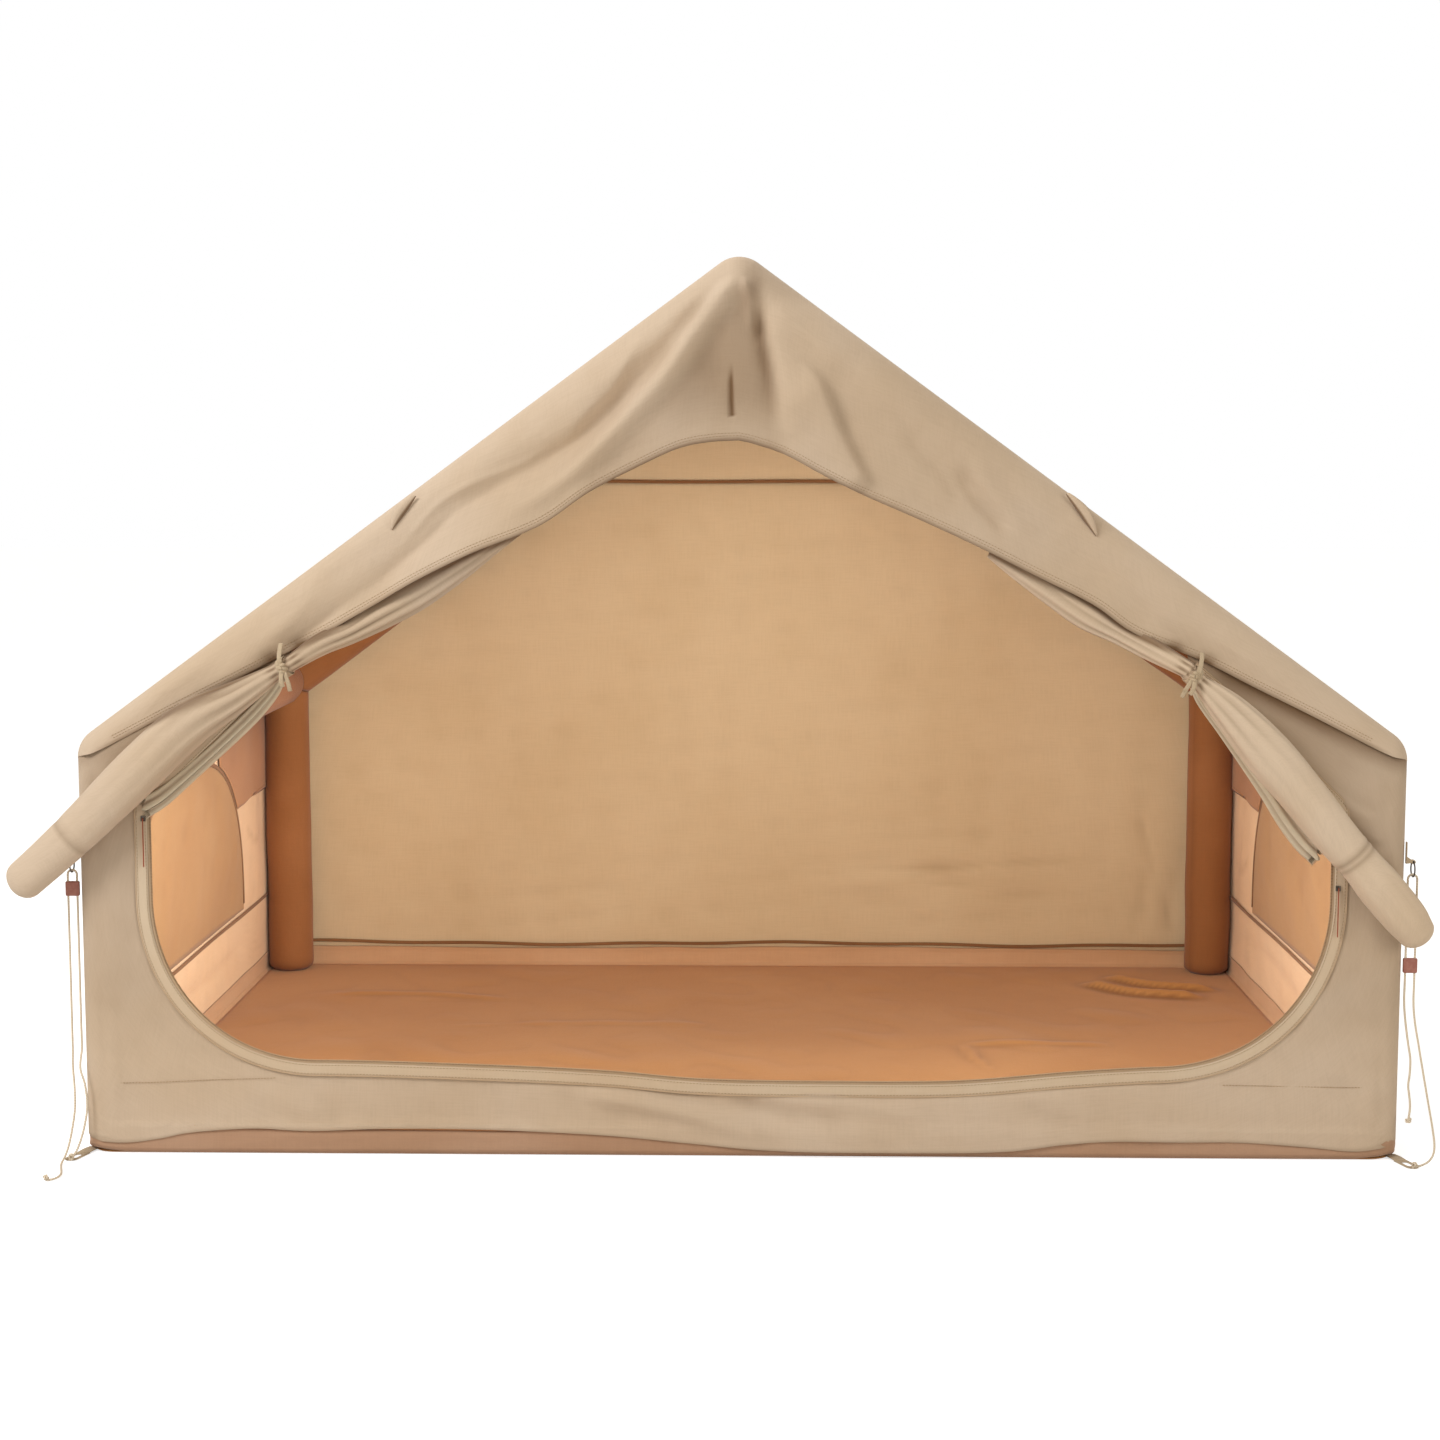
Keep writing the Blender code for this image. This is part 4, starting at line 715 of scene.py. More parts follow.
def canopySheet():
    outline = roofOutline(150, 14)
    face = np.array([gableColumn(*point) for point in outline]).transpose(1, 0, 2)
    x, y, z, inward = [face[..., k] for k in range(4)]
    signed, along = fromLine(x, z, centreSeam)
    seam = bell(signed, 0, 0.0035 + 0.003 * along) * smoothStep(0, 0.5, along) * (along < 0.999)
    height = gableHeight(x, z, inward, seam)
    y = tent["front"] - over(tent["front"] - y + height, tubeLeast(archAway(x, z)))
    front = np.stack([x, y, z], axis=2)
    rows, shades = roofRows(outline)
    shade = np.clip(np.concatenate([gableShade(x, z, height, seam), shades]), 0, 1)
    sheet = clothGrid("canopy", np.concatenate([front, rows]), [finishes["outer"], finishes["inner"]], shade,
                      facing=(0, -0.5, 1))
    body(sheet)
    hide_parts("front_left_gable", "front_right_gable", "roof_left", "roof_right")
    return front


gableFront = canopySheet()
print("canopy made")


# Front wall: one sheet round the opening, from its edge out to the corners and the ground

opening = {"halfWidth": 1.337, "cornerWidth": 0.38, "cornerHeight": 0.405, "foot": 0.1898, "straightTop": 0.80,
           "endX": 1.00, "endDrop": 0.055, "sheetFoot": 0.05, "bandWidth": 0.028, "pipingRadius": 0.0016}
roundCentre = np.array([opening["halfWidth"] - opening["cornerWidth"],
                        opening["foot"] + opening["cornerHeight"]])
roundSize = np.array([opening["cornerWidth"], opening["cornerHeight"]])
sillFolds = [
    ([(-0.40, 0.152), (-0.23, 0.126), (-0.09, 0.094), (0.05, 0.052)], 0.013, 0.022, 0.022, (0.3, 0.25)),
    ([(-0.26, 0.165), (-0.08, 0.138), (0.08, 0.102), (0.2, 0.06)], -0.006, 0.02, 0.02),
    ([(-0.05, 0.145), (0.10, 0.112), (0.28, 0.07)], -0.007, 0.02, 0.03),
    ([(0.10, 0.145), (0.28, 0.12), (0.45, 0.085)], 0.005, 0.02, 0.02),
    ([(0.62, 0.165), (0.74, 0.12), (0.83, 0.07)], 0.004, 0.03, 0.02),
    ([(-1.10, 0.16), (-1.0, 0.11), (-0.93, 0.07)], 0.004, 0.03, 0.02),
    ([(1.30, 0.86), (1.38, 0.80), (1.44, 0.77)], 0.006, 0.012, 0.012),
    ([(1.33, 0.80), (1.40, 0.74), (1.46, 0.72)], -0.006, 0.012, 0.014),
    ([(-1.40, 0.80), (-1.41, 0.60), (-1.43, 0.36)], 0.004, 0.03, 0.03),
    ([(1.42, 0.66), (1.43, 0.5), (1.41, 0.3)], 0.004, 0.03, 0.03),
]


# Matched places on the opening's edge and the wall's outer edge, right half, from the tie down to the middle
def wallPairs(side):
    hem = hems["right" if side > 0 else "left"]
    half, wide, foot = opening["halfWidth"], tent["halfWidth"], opening["sheetFoot"]

    def onHem(x, rise):
        return np.array([x, np.interp(x, hem[:, 0], hem[:, 1]) + rise])

    top = onHem(opening["endX"], -opening["endDrop"])
    shoulder = np.array([half, opening["straightTop"]])
    shares = ((0, 1.0), (0.35, 1.13), (0.7, 1.27), (1, 1.40))
    pairs = [(top + (shoulder - top) * share, onHem(x, 0.012)) for share, x in shares]
    pairs.append(((half, 0.74), onHem(1.462, 0.008)))
    pairs.extend([((half, 0.69), (1.4985, 0.921)), ((half, 0.685), (wide, 0.909)),
                  ((half, 0.63), (wide, 0.74))])
    outers = {0: (wide, 0.59), 15: (wide, 0.44), 30: (wide, 0.27), 45: (wide, 0.12), 57: (1.4999, 0.060),
              70: (1.33, foot), 80: (1.12, foot), 90: (roundCentre[0], foot)}
    for angle, outer in outers.items():
        turn = math.radians(angle)
        pairs.append((roundCentre + roundSize * (math.cos(turn), -math.sin(turn)), outer))
    pairs.append(((0.0, opening["foot"]), (0.0, foot)))
    return np.array([(tuple(inner), tuple(outer)) for inner, outer in pairs])


# The sill sags between the corners, and its lower edge hangs over the groundsheet's side
sillLines = {
    "sag": [(-1.34, 0), (-1.2, 0.012), (-0.95, 0.022), (-0.57, 0.013), (-0.3, 0.001), (-0.08, -0.017),
            (0.2, -0.021), (0.5, -0.018), (0.77, 0.005), (1.0, 0.017), (1.2, 0.01), (1.34, 0)],
    "foot": [(-1.5, 0.036), (-1.45, 0.027), (-1.39, 0.026), (-1.32, 0.036), (-1.25, 0.050), (-1.11, 0.060),
             (-0.98, 0.055), (-0.8, 0.061), (-0.57, 0.060), (-0.3, 0.048), (-0.1, 0.030),
             (0.1, 0.015), (0.45, 0.013), (0.62, 0.018), (0.74, 0.033), (0.85, 0.041), (1.0, 0.040),
             (1.144, 0.040), (1.293, 0.030), (1.39, 0.021), (1.45, 0.027), (1.5, 0.038)],
}
sillLines = {key: splined(line, 8) for key, line in sillLines.items()}


# The same pairs close together, with the rounded corner, the sag and the hanging foot worked in
def densePairs(side, step=0.014):
    pairs = wallPairs(side)
    made = []
    for first, second in zip(pairs, pairs[1:]):
        count = max(int(max(np.linalg.norm(second - first, axis=1)) / step), 1)
        made.extend(first + (second - first) * i / count for i in range(count))
    made = np.array([*made, pairs[-1]])
    inner, outer = made[:, 0], made[:, 1]
    onRound = (inner[:, 0] > roundCentre[0] + 1e-6) & (inner[:, 1] < roundCentre[1] - 1e-6)
    inner[onRound] = roundCentre + unit((inner[onRound] - roundCentre) / roundSize) * roundSize
    made[:, :, 0] *= side
    inner[:, 1] += np.interp(inner[:, 0], *sillLines["sag"].T)
    level, reach = tent["skirtTop"], 0.12
    low = outer[:, 1] < level
    near = (outer[:, 1] >= level) & (outer[:, 1] < reach)
    outer[low, 1] = np.interp(outer[low, 0], *sillLines["foot"].T)
    corner = float(np.interp(side * tent["halfWidth"], *sillLines["foot"].T))
    outer[near, 1] = corner + (outer[near, 1] - level) * (reach - corner) / (reach - level)
    return made


# How far the cloth lies back where it goes round the tent's upright corner
def cornerRound(x, edge=tent["edgeRound"]):
    near = np.clip(edge - (tent["halfWidth"] - np.abs(x)), 0, edge)
    return edge - np.sqrt(np.maximum(edge * edge - near * near, 0))


def frontWall():
    pairs = np.concatenate([densePairs(-1), densePairs(1)[::-1][1:]])
    shares = (1 - (1 - np.linspace(0, 1, 36)) ** 1.6)[:, None]
    inner, outer = pairs[:, 0], pairs[:, 1]
    flat = inner[None] + (outer - inner)[None] * shares[..., None]
    x, z = flat[..., 0], flat[..., 1]
    middle = np.abs(x)
    aboveHem = z - hemHeight(x)
    fromEdge = shares * np.linalg.norm(outer - inner, axis=1)[None]
    bandLine = bell(fromEdge, opening["bandWidth"], 0.004)
    height = folded(x, z, sillFolds) + 0.0016 * waves(x, z, 21, 0.42) + 0.0006 * waves(x, z, 22, 0.1)
    sway = 0.006 * smoothStep(0.35, 0.05, z) * np.sin(x * 2.6 + 0.6)
    height += sway * smoothStep(0.0, 0.4, tent["halfWidth"] - middle)
    height = height * smoothStep(0.0, 0.05, fromEdge) - 0.0015 * bandLine
    height *= smoothStep(0.0, 0.05, tent["halfWidth"] - middle) * smoothStep(0.05, -0.03, aboveHem)
    tuck = np.where((z > 0.85) & (middle > 0.95), smoothStep(-0.05, 0.012, aboveHem), 0)
    hang = smoothStep(0.09, 0.05, z) * smoothStep(1.49, 1.42, middle)
    back = 0.002 + cornerRound(x) - height + 0.010 * tuck * smoothStep(1.497, 1.465, middle) - 0.0052 * hang
    least = np.maximum(tubeLeast(archAway(x, z)), np.where((z < 0.068) & (middle < 1.46), 0.0034, -9))
    places = np.stack([x, tent["front"] - over(-back, least, 0.0008), z], axis=2)
    # Painted shade: a shadow wedge under the hem on the right, darker in dips, along the band's edge, at the
    # wall's foot, under the canopy's hem, and over the wall's upper part
    shadowWedge = smoothStep(-0.16, 0.0, aboveHem) * smoothStep(1.02, 1.10, x) * smoothStep(1.48, 1.25, x) * (z > 0.7)
    shade = 0.4 * cavity(height, 6, 0.006) + 0.25 * bandLine + 0.35 * bell(shares, 1, 0.03) * (z < 0.1)
    shade += 0.3 * shadowWedge
    shade += (0.6 - 0.3 * smoothStep(-1.15, -1.3, x)) * tuck + 0.18 * smoothStep(0.2, 0.42, z)
    sheet = clothGrid("frontWall", places, [finishes["outer"], finishes["inner"]], np.clip(shade, 0, 1),
                      facing=(0, -1, 0))
    body(sheet)
    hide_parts("front_sill", "front_left_jamb", "front_right_jamb")
    return inner, outer


openingEdge, wallEdge = frontWall()
print("front wall made")


# A flat ribbon along a line on a wall: its middle line, the way across and the way out
def ribbon(name, line, across, out, width, lift, material, thickness=0.0012, bulge=0.0004):
    line = np.asarray(line, dtype=float)
    across = np.broadcast_to(np.asarray(across, dtype=float), line.shape)
    out = np.broadcast_to(np.asarray(out, dtype=float), line.shape)
    rows = []
    for share in np.linspace(-0.5, 0.5, 7):
        rows.append(line + across * share * width + out * (lift + bulge * (1 - (2 * share) ** 4)))
    mainWay = out.mean(axis=0)
    facing = mainWay if np.linalg.norm(mainWay) > 0.3 else None
    return clothGrid(name, rows, [material], facing=facing, thickness=thickness)


def openingBand():
    ahead = headings(openingEdge)
    outward = np.stack([-ahead[:, 1], ahead[:, 0]], axis=1)
    outward *= np.sign(np.einsum("ij,ij->i", outward, wallEdge - openingEdge))[:, None]
    width = opening["bandWidth"]
    flat = np.zeros(len(openingEdge))
    across = np.stack([outward[:, 0], flat, outward[:, 1]], axis=1)
    middle = np.stack([openingEdge[:, 0], flat + tent["front"] + 0.0005, openingEdge[:, 1]], axis=1)
    middle = middle + across * width / 2
    band = ribbon("openingBand", middle, across, (0, -1, 0), width, 0.0006, finishes["band"])
    piping = tubeAlong("openingPiping", middle + across * width / 2 + (0, -0.0004, 0), opening["pipingRadius"],
                       finishes["edging"], sides=6)
    tapeLine = middle - across * (width / 2 + 0.0005) + (0, 0.0026, 0)
    tape = ribbon("zipTape", tapeLine, across, (0, -1, 0), 0.016, 0.0, finishes["edging"], 0.0008)
    for piece in (band, piping, tape):
        body(piece)
    return middle, across


bandLine, bandAcross = openingBand()


# Side walls: a ring of cloth round the rounded window, a net in it and a flap that closes it from inside

window = {"foot": 0.255, "halfWidth": 0.62, "height": 0.49, "roundness": 2.6, "overlap": 0.012,
          "tapeWidth": 0.012, "bindingWidth": 0.016}
seams = {"side": 0.0105, "rear": 0.009, "rearFloor": 0.010}
sideFolds = [
    ([(-0.98, 0.86), (-0.9, 0.6), (-0.93, 0.3)], 0.006, 0.04, 0.03),
    ([(0.9, 0.88), (0.84, 0.6), (0.9, 0.2)], 0.005, 0.03, 0.04),
    ([(-0.5, 0.88), (-0.2, 0.82), (0.2, 0.82), (0.55, 0.88)], -0.006, 0.03, 0.03),
    ([(-0.8, 0.16), (-0.2, 0.13), (0.4, 0.16), (0.85, 0.13)], 0.004, 0.02, 0.03),
    ([(0.66, 0.42), (0.78, 0.36), (0.93, 0.35)], -0.005, 0.02, 0.02),
    ([(-0.66, 0.5), (-0.8, 0.44), (-0.94, 0.46)], -0.005, 0.02, 0.02),
]


def windowOutline(grow=0.0, steps=48):
    power, half = 2 / window["roundness"], window["halfWidth"] + grow
    made = []
    for i in range(steps + 1):
        across, up = math.cos(math.pi * i / steps), math.sin(math.pi * i / steps)
        rise = up**power if 0 < i < steps else 0.0
        made.append((half * math.copysign(abs(across) ** power, across),
                     window["foot"] + (window["height"] + grow) * rise))
    made.extend((x, window["foot"]) for x in np.linspace(-half, half, 41)[1:-1])
    return np.array(made)


def polarRadius(outline, centre, angles):
    dx, dz = (outline - centre).T
    turn = np.arctan2(dz, dx)
    order = np.argsort(turn)
    return np.interp(angles, turn[order], np.hypot(dx, dz)[order], period=2 * math.pi)


def sideWall(name, side):
    centreZ, low, high = 0.5, tent["wallFoot"], eaveAxis + 0.001
    spanY = -tent["front"] - tent["edgeRound"] + 0.001
    corners = [math.atan2(z - centreZ, y) for y in (-spanY, spanY) for z in (low, high)]
    angles = np.sort(np.concatenate([np.linspace(-math.pi, math.pi, 240, endpoint=False), corners]))
    near = polarRadius(windowOutline(0.0, 120), (0.0, centreZ), angles)
    wayY, wayZ = np.cos(angles), np.sin(angles)
    limitY = np.where(np.abs(wayY) > 1e-6, spanY / np.maximum(np.abs(wayY), 1e-6), 9)
    limitZ = np.where(wayZ > 0, high - centreZ, centreZ - low) / np.maximum(np.abs(wayZ), 1e-6)
    far = np.minimum(limitY, limitZ)
    outside = (far - near) * np.linspace(0, 1, 30)[:, None]
    y = wayY * (near + outside)
    z = centreZ + wayZ * (near + outside)
    height = folded(y * side, z, sideFolds) + 0.0018 * waves(y, z, 31 + side, 0.4)
    height += 0.0008 * waves(y, z, 33 + side, 0.1)
    for fromRim in (outside, spanY - np.abs(y), z - low, high - z):
        height *= smoothStep(0, 0.05, fromRim)
    # Inward folds start clear of the window's edge, where the flap and its zip slider move
    height = np.clip(height, -0.0003 - 0.1 * np.maximum(outside - 0.035, 0), 0.006)
    height = over(height, np.maximum(tubeLeast(np.abs(rearTube - np.abs(y))), tubeLeast(np.abs(eaveAxis - z))),
                  0.0008)
    # Painted shade: darker in the wall's dips and along its foot
    shade = np.clip(0.3 * cavity(height, 4, 0.004) + 0.3 * smoothStep(0.06, 0.054, z), 0, 1)
    places = np.stack([side * (tent["halfWidth"] + height), y, z], axis=2)
    sheet = clothGrid(f"{name}SideWall", places, [finishes["outer"], finishes["sideInnerPaintedGlow"]], shade, wrap=True,
                      facing=(side, 0, 0))
    body(sheet)
    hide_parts(f"{name}_wall")


# A dome-shaped panel in the window: columns along the foot, rows up to the outline
def windowPanel(grow, x, side, puff, seed, rows=26, cols=70):
    spread = np.sin(np.linspace(-math.pi / 2, math.pi / 2, cols))
    roundness = window["roundness"]
    top = (window["height"] + grow) * np.maximum(1 - np.abs(spread) ** roundness, 0.0022) ** (1 / roundness)
    share = np.linspace(0, 1, rows)[:, None]
    z = window["foot"] + share * top
    y = np.broadcast_to((window["halfWidth"] + grow) * spread, z.shape)
    rim = np.clip(share * (1 - share) * 6, 0, 1) * np.clip((1 - np.abs(spread)) * 5, 0, 1)
    height = rim * (puff + 0.002 * waves(y, z, seed, 0.3) + 0.001 * waves(y, z, seed + 1, 0.11))
    return np.stack([x - side * height, y, z], axis=2), height


def windowPieces(name, side):
    flapX = side * (tent["halfWidth"] - tent["canvas"] * 1.5 - 0.0009)
    places, height = windowPanel(window["overlap"] - 0.001, flapX, side, 0.007, 41 + side)
    # Painted shade in the flap's dips
    flap = clothGrid(f"{name}WindowFlap", places, [finishes["window"]], 0.25 * cavity(height, 3),
                     facing=(-side, 0, 0), thickness=0.0014)
    body(flap, f"{name}_flap")
    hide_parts(f"{name}_window_flap")
    places, height = windowPanel(-0.001, side * (tent["halfWidth"] - 0.0004), side, 0.0, 45 + side, 20, 50)
    net = clothGrid(f"{name}WindowNet", places, [finishes["mesh"]], facing=(side, 0, 0), thickness=0.0008)
    body(net)
    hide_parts(f"{name}_window_net")
    # Zip tape round the flap, and a binding round the opening outside
    outline = splined(windowOutline(window["overlap"] - 0.004, 60)[:61], 3)
    ahead = headings(outline)
    across = np.stack([np.zeros(len(outline)), ahead[:, 1], -ahead[:, 0]], axis=1)
    inside, outside = [np.insert(outline, 0, side * (tent["halfWidth"] + out), axis=1)
                       for out in (-0.0058, 0.0012)]
    # The tape stops short of the hinge, so that its ends clear the wall when the flap hangs open
    held = outline[:, 1] > window["foot"] + 0.0045
    tape = ribbon(f"{name}WindowZipTape", inside[held], across[held], (-side, 0, 0), window["tapeWidth"], 0.0,
                  finishes["seam"])
    body(tape, f"{name}_flap")
    binding = ribbon(f"{name}WindowBinding", outside, across, (side, 0, 0), window["bindingWidth"], 0.0,
                     finishes["outer"])
    body(binding)


# A level seam under the window, and a darker cloth patch in the upper rear corner whose colour is painted
# shade, darkest towards the eave
def sideTrim(name, side):
    y = np.linspace(-0.98, 0.985, 120)
    z = window["foot"] - 0.0128 + 0.0015 * np.sin(y * 7)
    line = np.stack([np.full(120, side * (tent["halfWidth"] - 0.0068)), y, z], axis=1)
    seam = ribbon(f"{name}SideSeam", line, (0, 0, 1), (-side, 0, 0), seams["side"], 0.0, finishes["seam"])
    body(seam)
    share, z = np.meshgrid(np.linspace(0, 1, 30), np.linspace(0.565, 0.905, 30))
    margin, roundness = 0.014, window["roundness"]
    rise = np.clip((z - window["foot"]) / (window["height"] + margin), 0, 1)
    start = np.maximum((window["halfWidth"] + margin) * (1 - rise**roundness) ** (1 / roundness), 0.34)
    y = start + (1.0 - start) * share
    z = z + 0.03 * share * (z < 0.57)
    puff = np.clip(0.003 * np.clip(share * 6, 0, 1) * (0.5 + 0.5 * waves(y, z, 141 + side, 0.25)), 0, 0.004)
    places = np.stack([side * (tent["halfWidth"] - 0.0078 - puff), y, z], axis=2)
    # Painted shade, darker towards the eave and along the patch's lower edge
    shade = np.clip(0.5 * smoothStep(0.66, 0.9, z) + 0.3 * (z < 0.575), 0, 1)
    patch = clothGrid(f"{name}CornerPatchPaintedShade", places, [finishes["patch"]], shade, facing=(-side, 0, 0),
                      thickness=0.0012)
    body(patch)


for sideName, sideSign in (("left", -1), ("right", 1)):
    sideWall(sideName, sideSign)
    windowPieces(sideName, sideSign)
    sideTrim(sideName, sideSign)
print("side walls made")


# Rear: a wall and a gable above a dark level seam

rear = {"seam": 1.52, "floorSeam": 0.074}


def rearTop(x):
    edge = tent["edgeRound"]
    inner = tent["wrapRadius"] - edge
    x = np.abs(x)
    slope = roofHeight(x) - edge / math.cos(pitch)
    crown = ridgeAxis + np.sqrt(np.maximum(inner**2 - x**2, 0))
    top = np.where(x < inner * math.sin(pitch), crown, slope)
    beyond = x > eaveX + inner * math.sin(pitch)
    corner = eaveAxis + np.sqrt(np.maximum(inner**2 - (x - eaveX) ** 2, 0))
    return np.where(beyond, np.where(x < eaveX + inner, corner, eaveAxis), top)


def rearWrinkles(x, z):
    height = 0.0035 * spot(x, z, (0.62, 0.30), (0.42, 0.10)) * waves(x * 0.18, z, 51, 0.06)
    height += 0.0016 * spot(x, z, (1.28, 0.25), (0.14, 0.2)) * waves(x, z * 0.3, 52, 0.09)
    height += 0.0015 * spot(x, z, (-0.5, 0.2), (0.6, 0.1)) * waves(x * 0.2, z, 53, 0.07)
    height += foldAlong(x, z, [(1.21, 0.52), (1.245, 0.41), (1.30, 0.22), (1.33, 0.10)], 0.0028, 0.014, 0.02,
                        (0.3, 0.2))
    return height + 0.002 * waves(x, z, 54, 0.6) + 0.0008 * waves(x, z, 55, 0.13)


def rearPanel(name, cad, xs, low, high, rows):
    z = low + (high - low) * np.linspace(0, 1, rows)[:, None]
    x = np.broadcast_to(xs, z.shape)
    rim = smoothStep(0, 0.06, high - z) * smoothStep(0, 0.05, z - low)
    rim = rim * smoothStep(0, 0.08, tent["halfWidth"] - np.abs(x))
    height = (rearWrinkles(x, z) - 0.004) * rim
    out = over(np.minimum(height, 0.004) - cornerRound(x), tubeLeast(archAway(x, z)), 0.0008)
    places = np.stack([x, tent["rear"] + out, z], axis=2)
    # Painted shade in the wall's hollows as seen from inside
    sheet = clothGrid(name, places, [finishes["outer"], finishes["rearInnerPaintedGlow"]], 0.3 * cavity(-height, 5),
                      facing=(0, 1, 0))
    body(sheet)
    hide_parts(cad)


def rearSeam(name, xs, back, z, width):
    line = np.stack([xs, np.full(len(xs), tent["rear"] - back), z], axis=1)
    tape = ribbon(name, line, (0, 0, 1), (0, -1, 0), width, 0.0, finishes["seam"])
    body(tape)


def rearPanels():
    half = float((tent["ridgeHeight"] - rear["seam"]) / math.tan(pitch)) - tent["edgeRound"] / math.sin(pitch)
    wide, flat = tent["halfWidth"], tent["halfWidth"] - 0.05
    xs = np.concatenate([np.linspace(-wide, -flat, 9)[:-1], np.linspace(-flat, flat, 190),
                         np.linspace(flat, wide, 9)[1:]])
    top = np.where(np.abs(xs) < half, rear["seam"] - 0.0003, rearTop(xs))
    rearPanel("rearWall", "rear_wall", xs, tent["wallFoot"], top, 90)
    xs = half * np.sin(np.linspace(-math.pi / 2, math.pi / 2, 120)) * 0.998
    rearPanel("rearGable", "rear_gable", xs, rear["seam"] + 0.0003, rearTop(xs), 40)
    half += 0.03
    xs = np.linspace(-half, half, 90)
    rearSeam("rearSeamTape", xs, 0.009, rear["seam"] + 0.0012 * np.sin(xs * 9), seams["rear"])
    xs = np.linspace(-1.4, 1.4, 160)
    z = rear["floorSeam"] + 0.004 * np.sin(xs * 4.1 + 1) + 0.002 * np.sin(xs * 13)
    rearSeam("rearFloorSeam", xs, 0.010, z, seams["rearFloor"])


rearPanels()
print("rear made")


# Groundsheet: a floor with creases, and a low skirt whose foot is rounded

ground = {"thickness": 0.002, "halfX": 1.492, "halfY": 1.042, "floorRound": 0.06, "cornerRound": 0.047,
          "footRound": 0.014}
floorCreases = [
    ([(0.60, 0.02), (0.78, 0.04), (1.0, 0.03)], 0.005, 0.012, 0.02, (0.2, 0.2)),
    ([(0.60, 0.02), (0.62, -0.14), (0.66, -0.30)], 0.005, 0.012, 0.015, (0.2, 0.2)),
    ([(-1.25, 0.6), (-1.0, 0.62), (-0.7, 0.55)], 0.006, 0.02, 0.02, (0.2, 0.2)),
    ([(1.02, 0.80), (1.16, 0.66), (1.36, 0.60)], 0.020, 0.03, 0.02, (0.2, 0.2)),
    ([(1.10, 0.90), (1.24, 0.76), (1.42, 0.70)], 0.018, 0.03, 0.02, (0.2, 0.2)),
    ([(-1.2, -0.4), (-0.8, -0.45), (-0.3, -0.4), (0.3, -0.46)], 0.004, 0.02, 0.03, (0.2, 0.2)),
    ([(-0.9, 0.2), (-0.4, 0.26), (0.1, 0.22)], 0.003, 0.02, 0.03, (0.2, 0.2)),
]


def groundFloor():
    halfX, halfY, corner = ground["halfX"], ground["halfY"], ground["floorRound"]
    x, y = np.meshgrid(np.linspace(-halfX, halfX, 220), np.linspace(-halfY, halfY, 156))
    height = folded(x, y, floorCreases) + 0.0022 * waves(x, y, 61, 0.5) + 0.0012 * waves(x, y, 62, 0.16)
    rim = smoothStep(0, 0.1, halfX - np.abs(x)) * smoothStep(0, 0.1, halfY - np.abs(y))
    for legX in (-eaveX, eaveX):
        for legY in (frontTube, rearTube):
            rim *= smoothStep(0.08, 0.14, np.hypot(x - legX, y - legY))
    height = np.clip(height, 0, 0.02) * rim
    overX, overY = np.maximum(np.abs(x) - halfX + corner, 0), np.maximum(np.abs(y) - halfY + corner, 0)
    rounding = np.maximum(overX, overY) / np.maximum(np.hypot(overX, overY), 1e-9)
    x = np.where(overX * overY > 0, np.sign(x) * (halfX - corner + overX * rounding), x)
    y = np.where(overX * overY > 0, np.sign(y) * (halfY - corner + overY * rounding), y)
    places = np.stack([x, y, ground["thickness"] + 0.0004 + height], axis=2)
    # Painted shade: darker in the floor's creases, and increasingly towards the front
    shade = 0.6 * cavity(height, 5, 0.003) + 0.24 * smoothStep(1.0, 0.1, y)
    floor = clothGrid("groundFloor", places, [finishes["floor"]], shade, facing=(0, 0, 1),
                      thickness=ground["thickness"])
    return body(floor)


# The skirt's line on the ground, counter-clockwise from the right, and the way out of the tent at each point
def skirtPlan():
    corner = ground["cornerRound"]
    x, y = tent["halfWidth"] - corner, tent["rear"] - corner
    arcs = []
    for cx, cy, start in ((x, y, 0), (-x, y, 90), (-x, -y, 180), (x, -y, 270)):
        turn = np.radians(start + np.linspace(0, 90, 9))
        arcs.append(np.stack([cx + corner * np.cos(turn), cy + corner * np.sin(turn)], axis=1))
    plan = []
    for arc, after in zip(arcs, arcs[1:] + arcs[:1]):
        plan.extend(arc)
        plan.extend(arc[-1] + (after[0] - arc[-1]) * share for share in np.linspace(0, 1, 60)[1:-1])
    plan = np.array(plan)
    along = np.roll(plan, -1, axis=0) - np.roll(plan, 1, axis=0)
    return plan, unit(along[:, ::-1] * (1, -1))


def groundSkirt():
    plan, outward = skirtPlan()
    foot, top = ground["footRound"], tent["skirtTop"]
    rows, shade = [], []

    def addRow(out, z, dark):
        rows.append(np.column_stack([plan + outward * np.reshape(out, (-1, 1)), np.broadcast_to(z, len(plan))]))
        shade.append(np.full(len(plan), dark))

    x, y = plan.T
    wavy = 0.0035 * np.sin(x * 3.1 + 0.4) * (np.abs(y) > 1.0) + 0.0015 * waves(x, y, 63, 0.3)
    # Painted shade: dark along the skirt's top row, and lighter shade round its rounded foot
    for z in np.linspace(top, foot, 10):
        pucker = 0.0012 * waves(x, z * 3 + y, 64, 0.14) * math.sin(math.pi * min(z / 0.06, 1))
        addRow(pucker - 0.0030 * smoothStep(0.045, top, z) - 0.0002, z + wavy * smoothStep(0.02, top, z),
               0.5 if z > 0.058 else 0.0)
    for turn in np.linspace(0, math.pi / 2, 6)[1:]:
        addRow(-foot * (1 - math.cos(turn)), foot - foot * math.sin(turn), 0.15)
    addRow(-0.05, 0.0, 0.0)
    rows = np.array(rows)
    rise = 0.011 * smoothStep(1.40, 1.5, np.abs(rows[..., 0])) * smoothStep(-1.0, -1.04, rows[..., 1])
    rows[..., 2] += rise * smoothStep(top, 0.0, rows[..., 2])
    skirt = clothGrid("groundSkirt", rows, [finishes["skirt"], finishes["skirtInner"]], np.array(shade),
                      wrap=True, thickness=0.0016)
    return body(skirt)


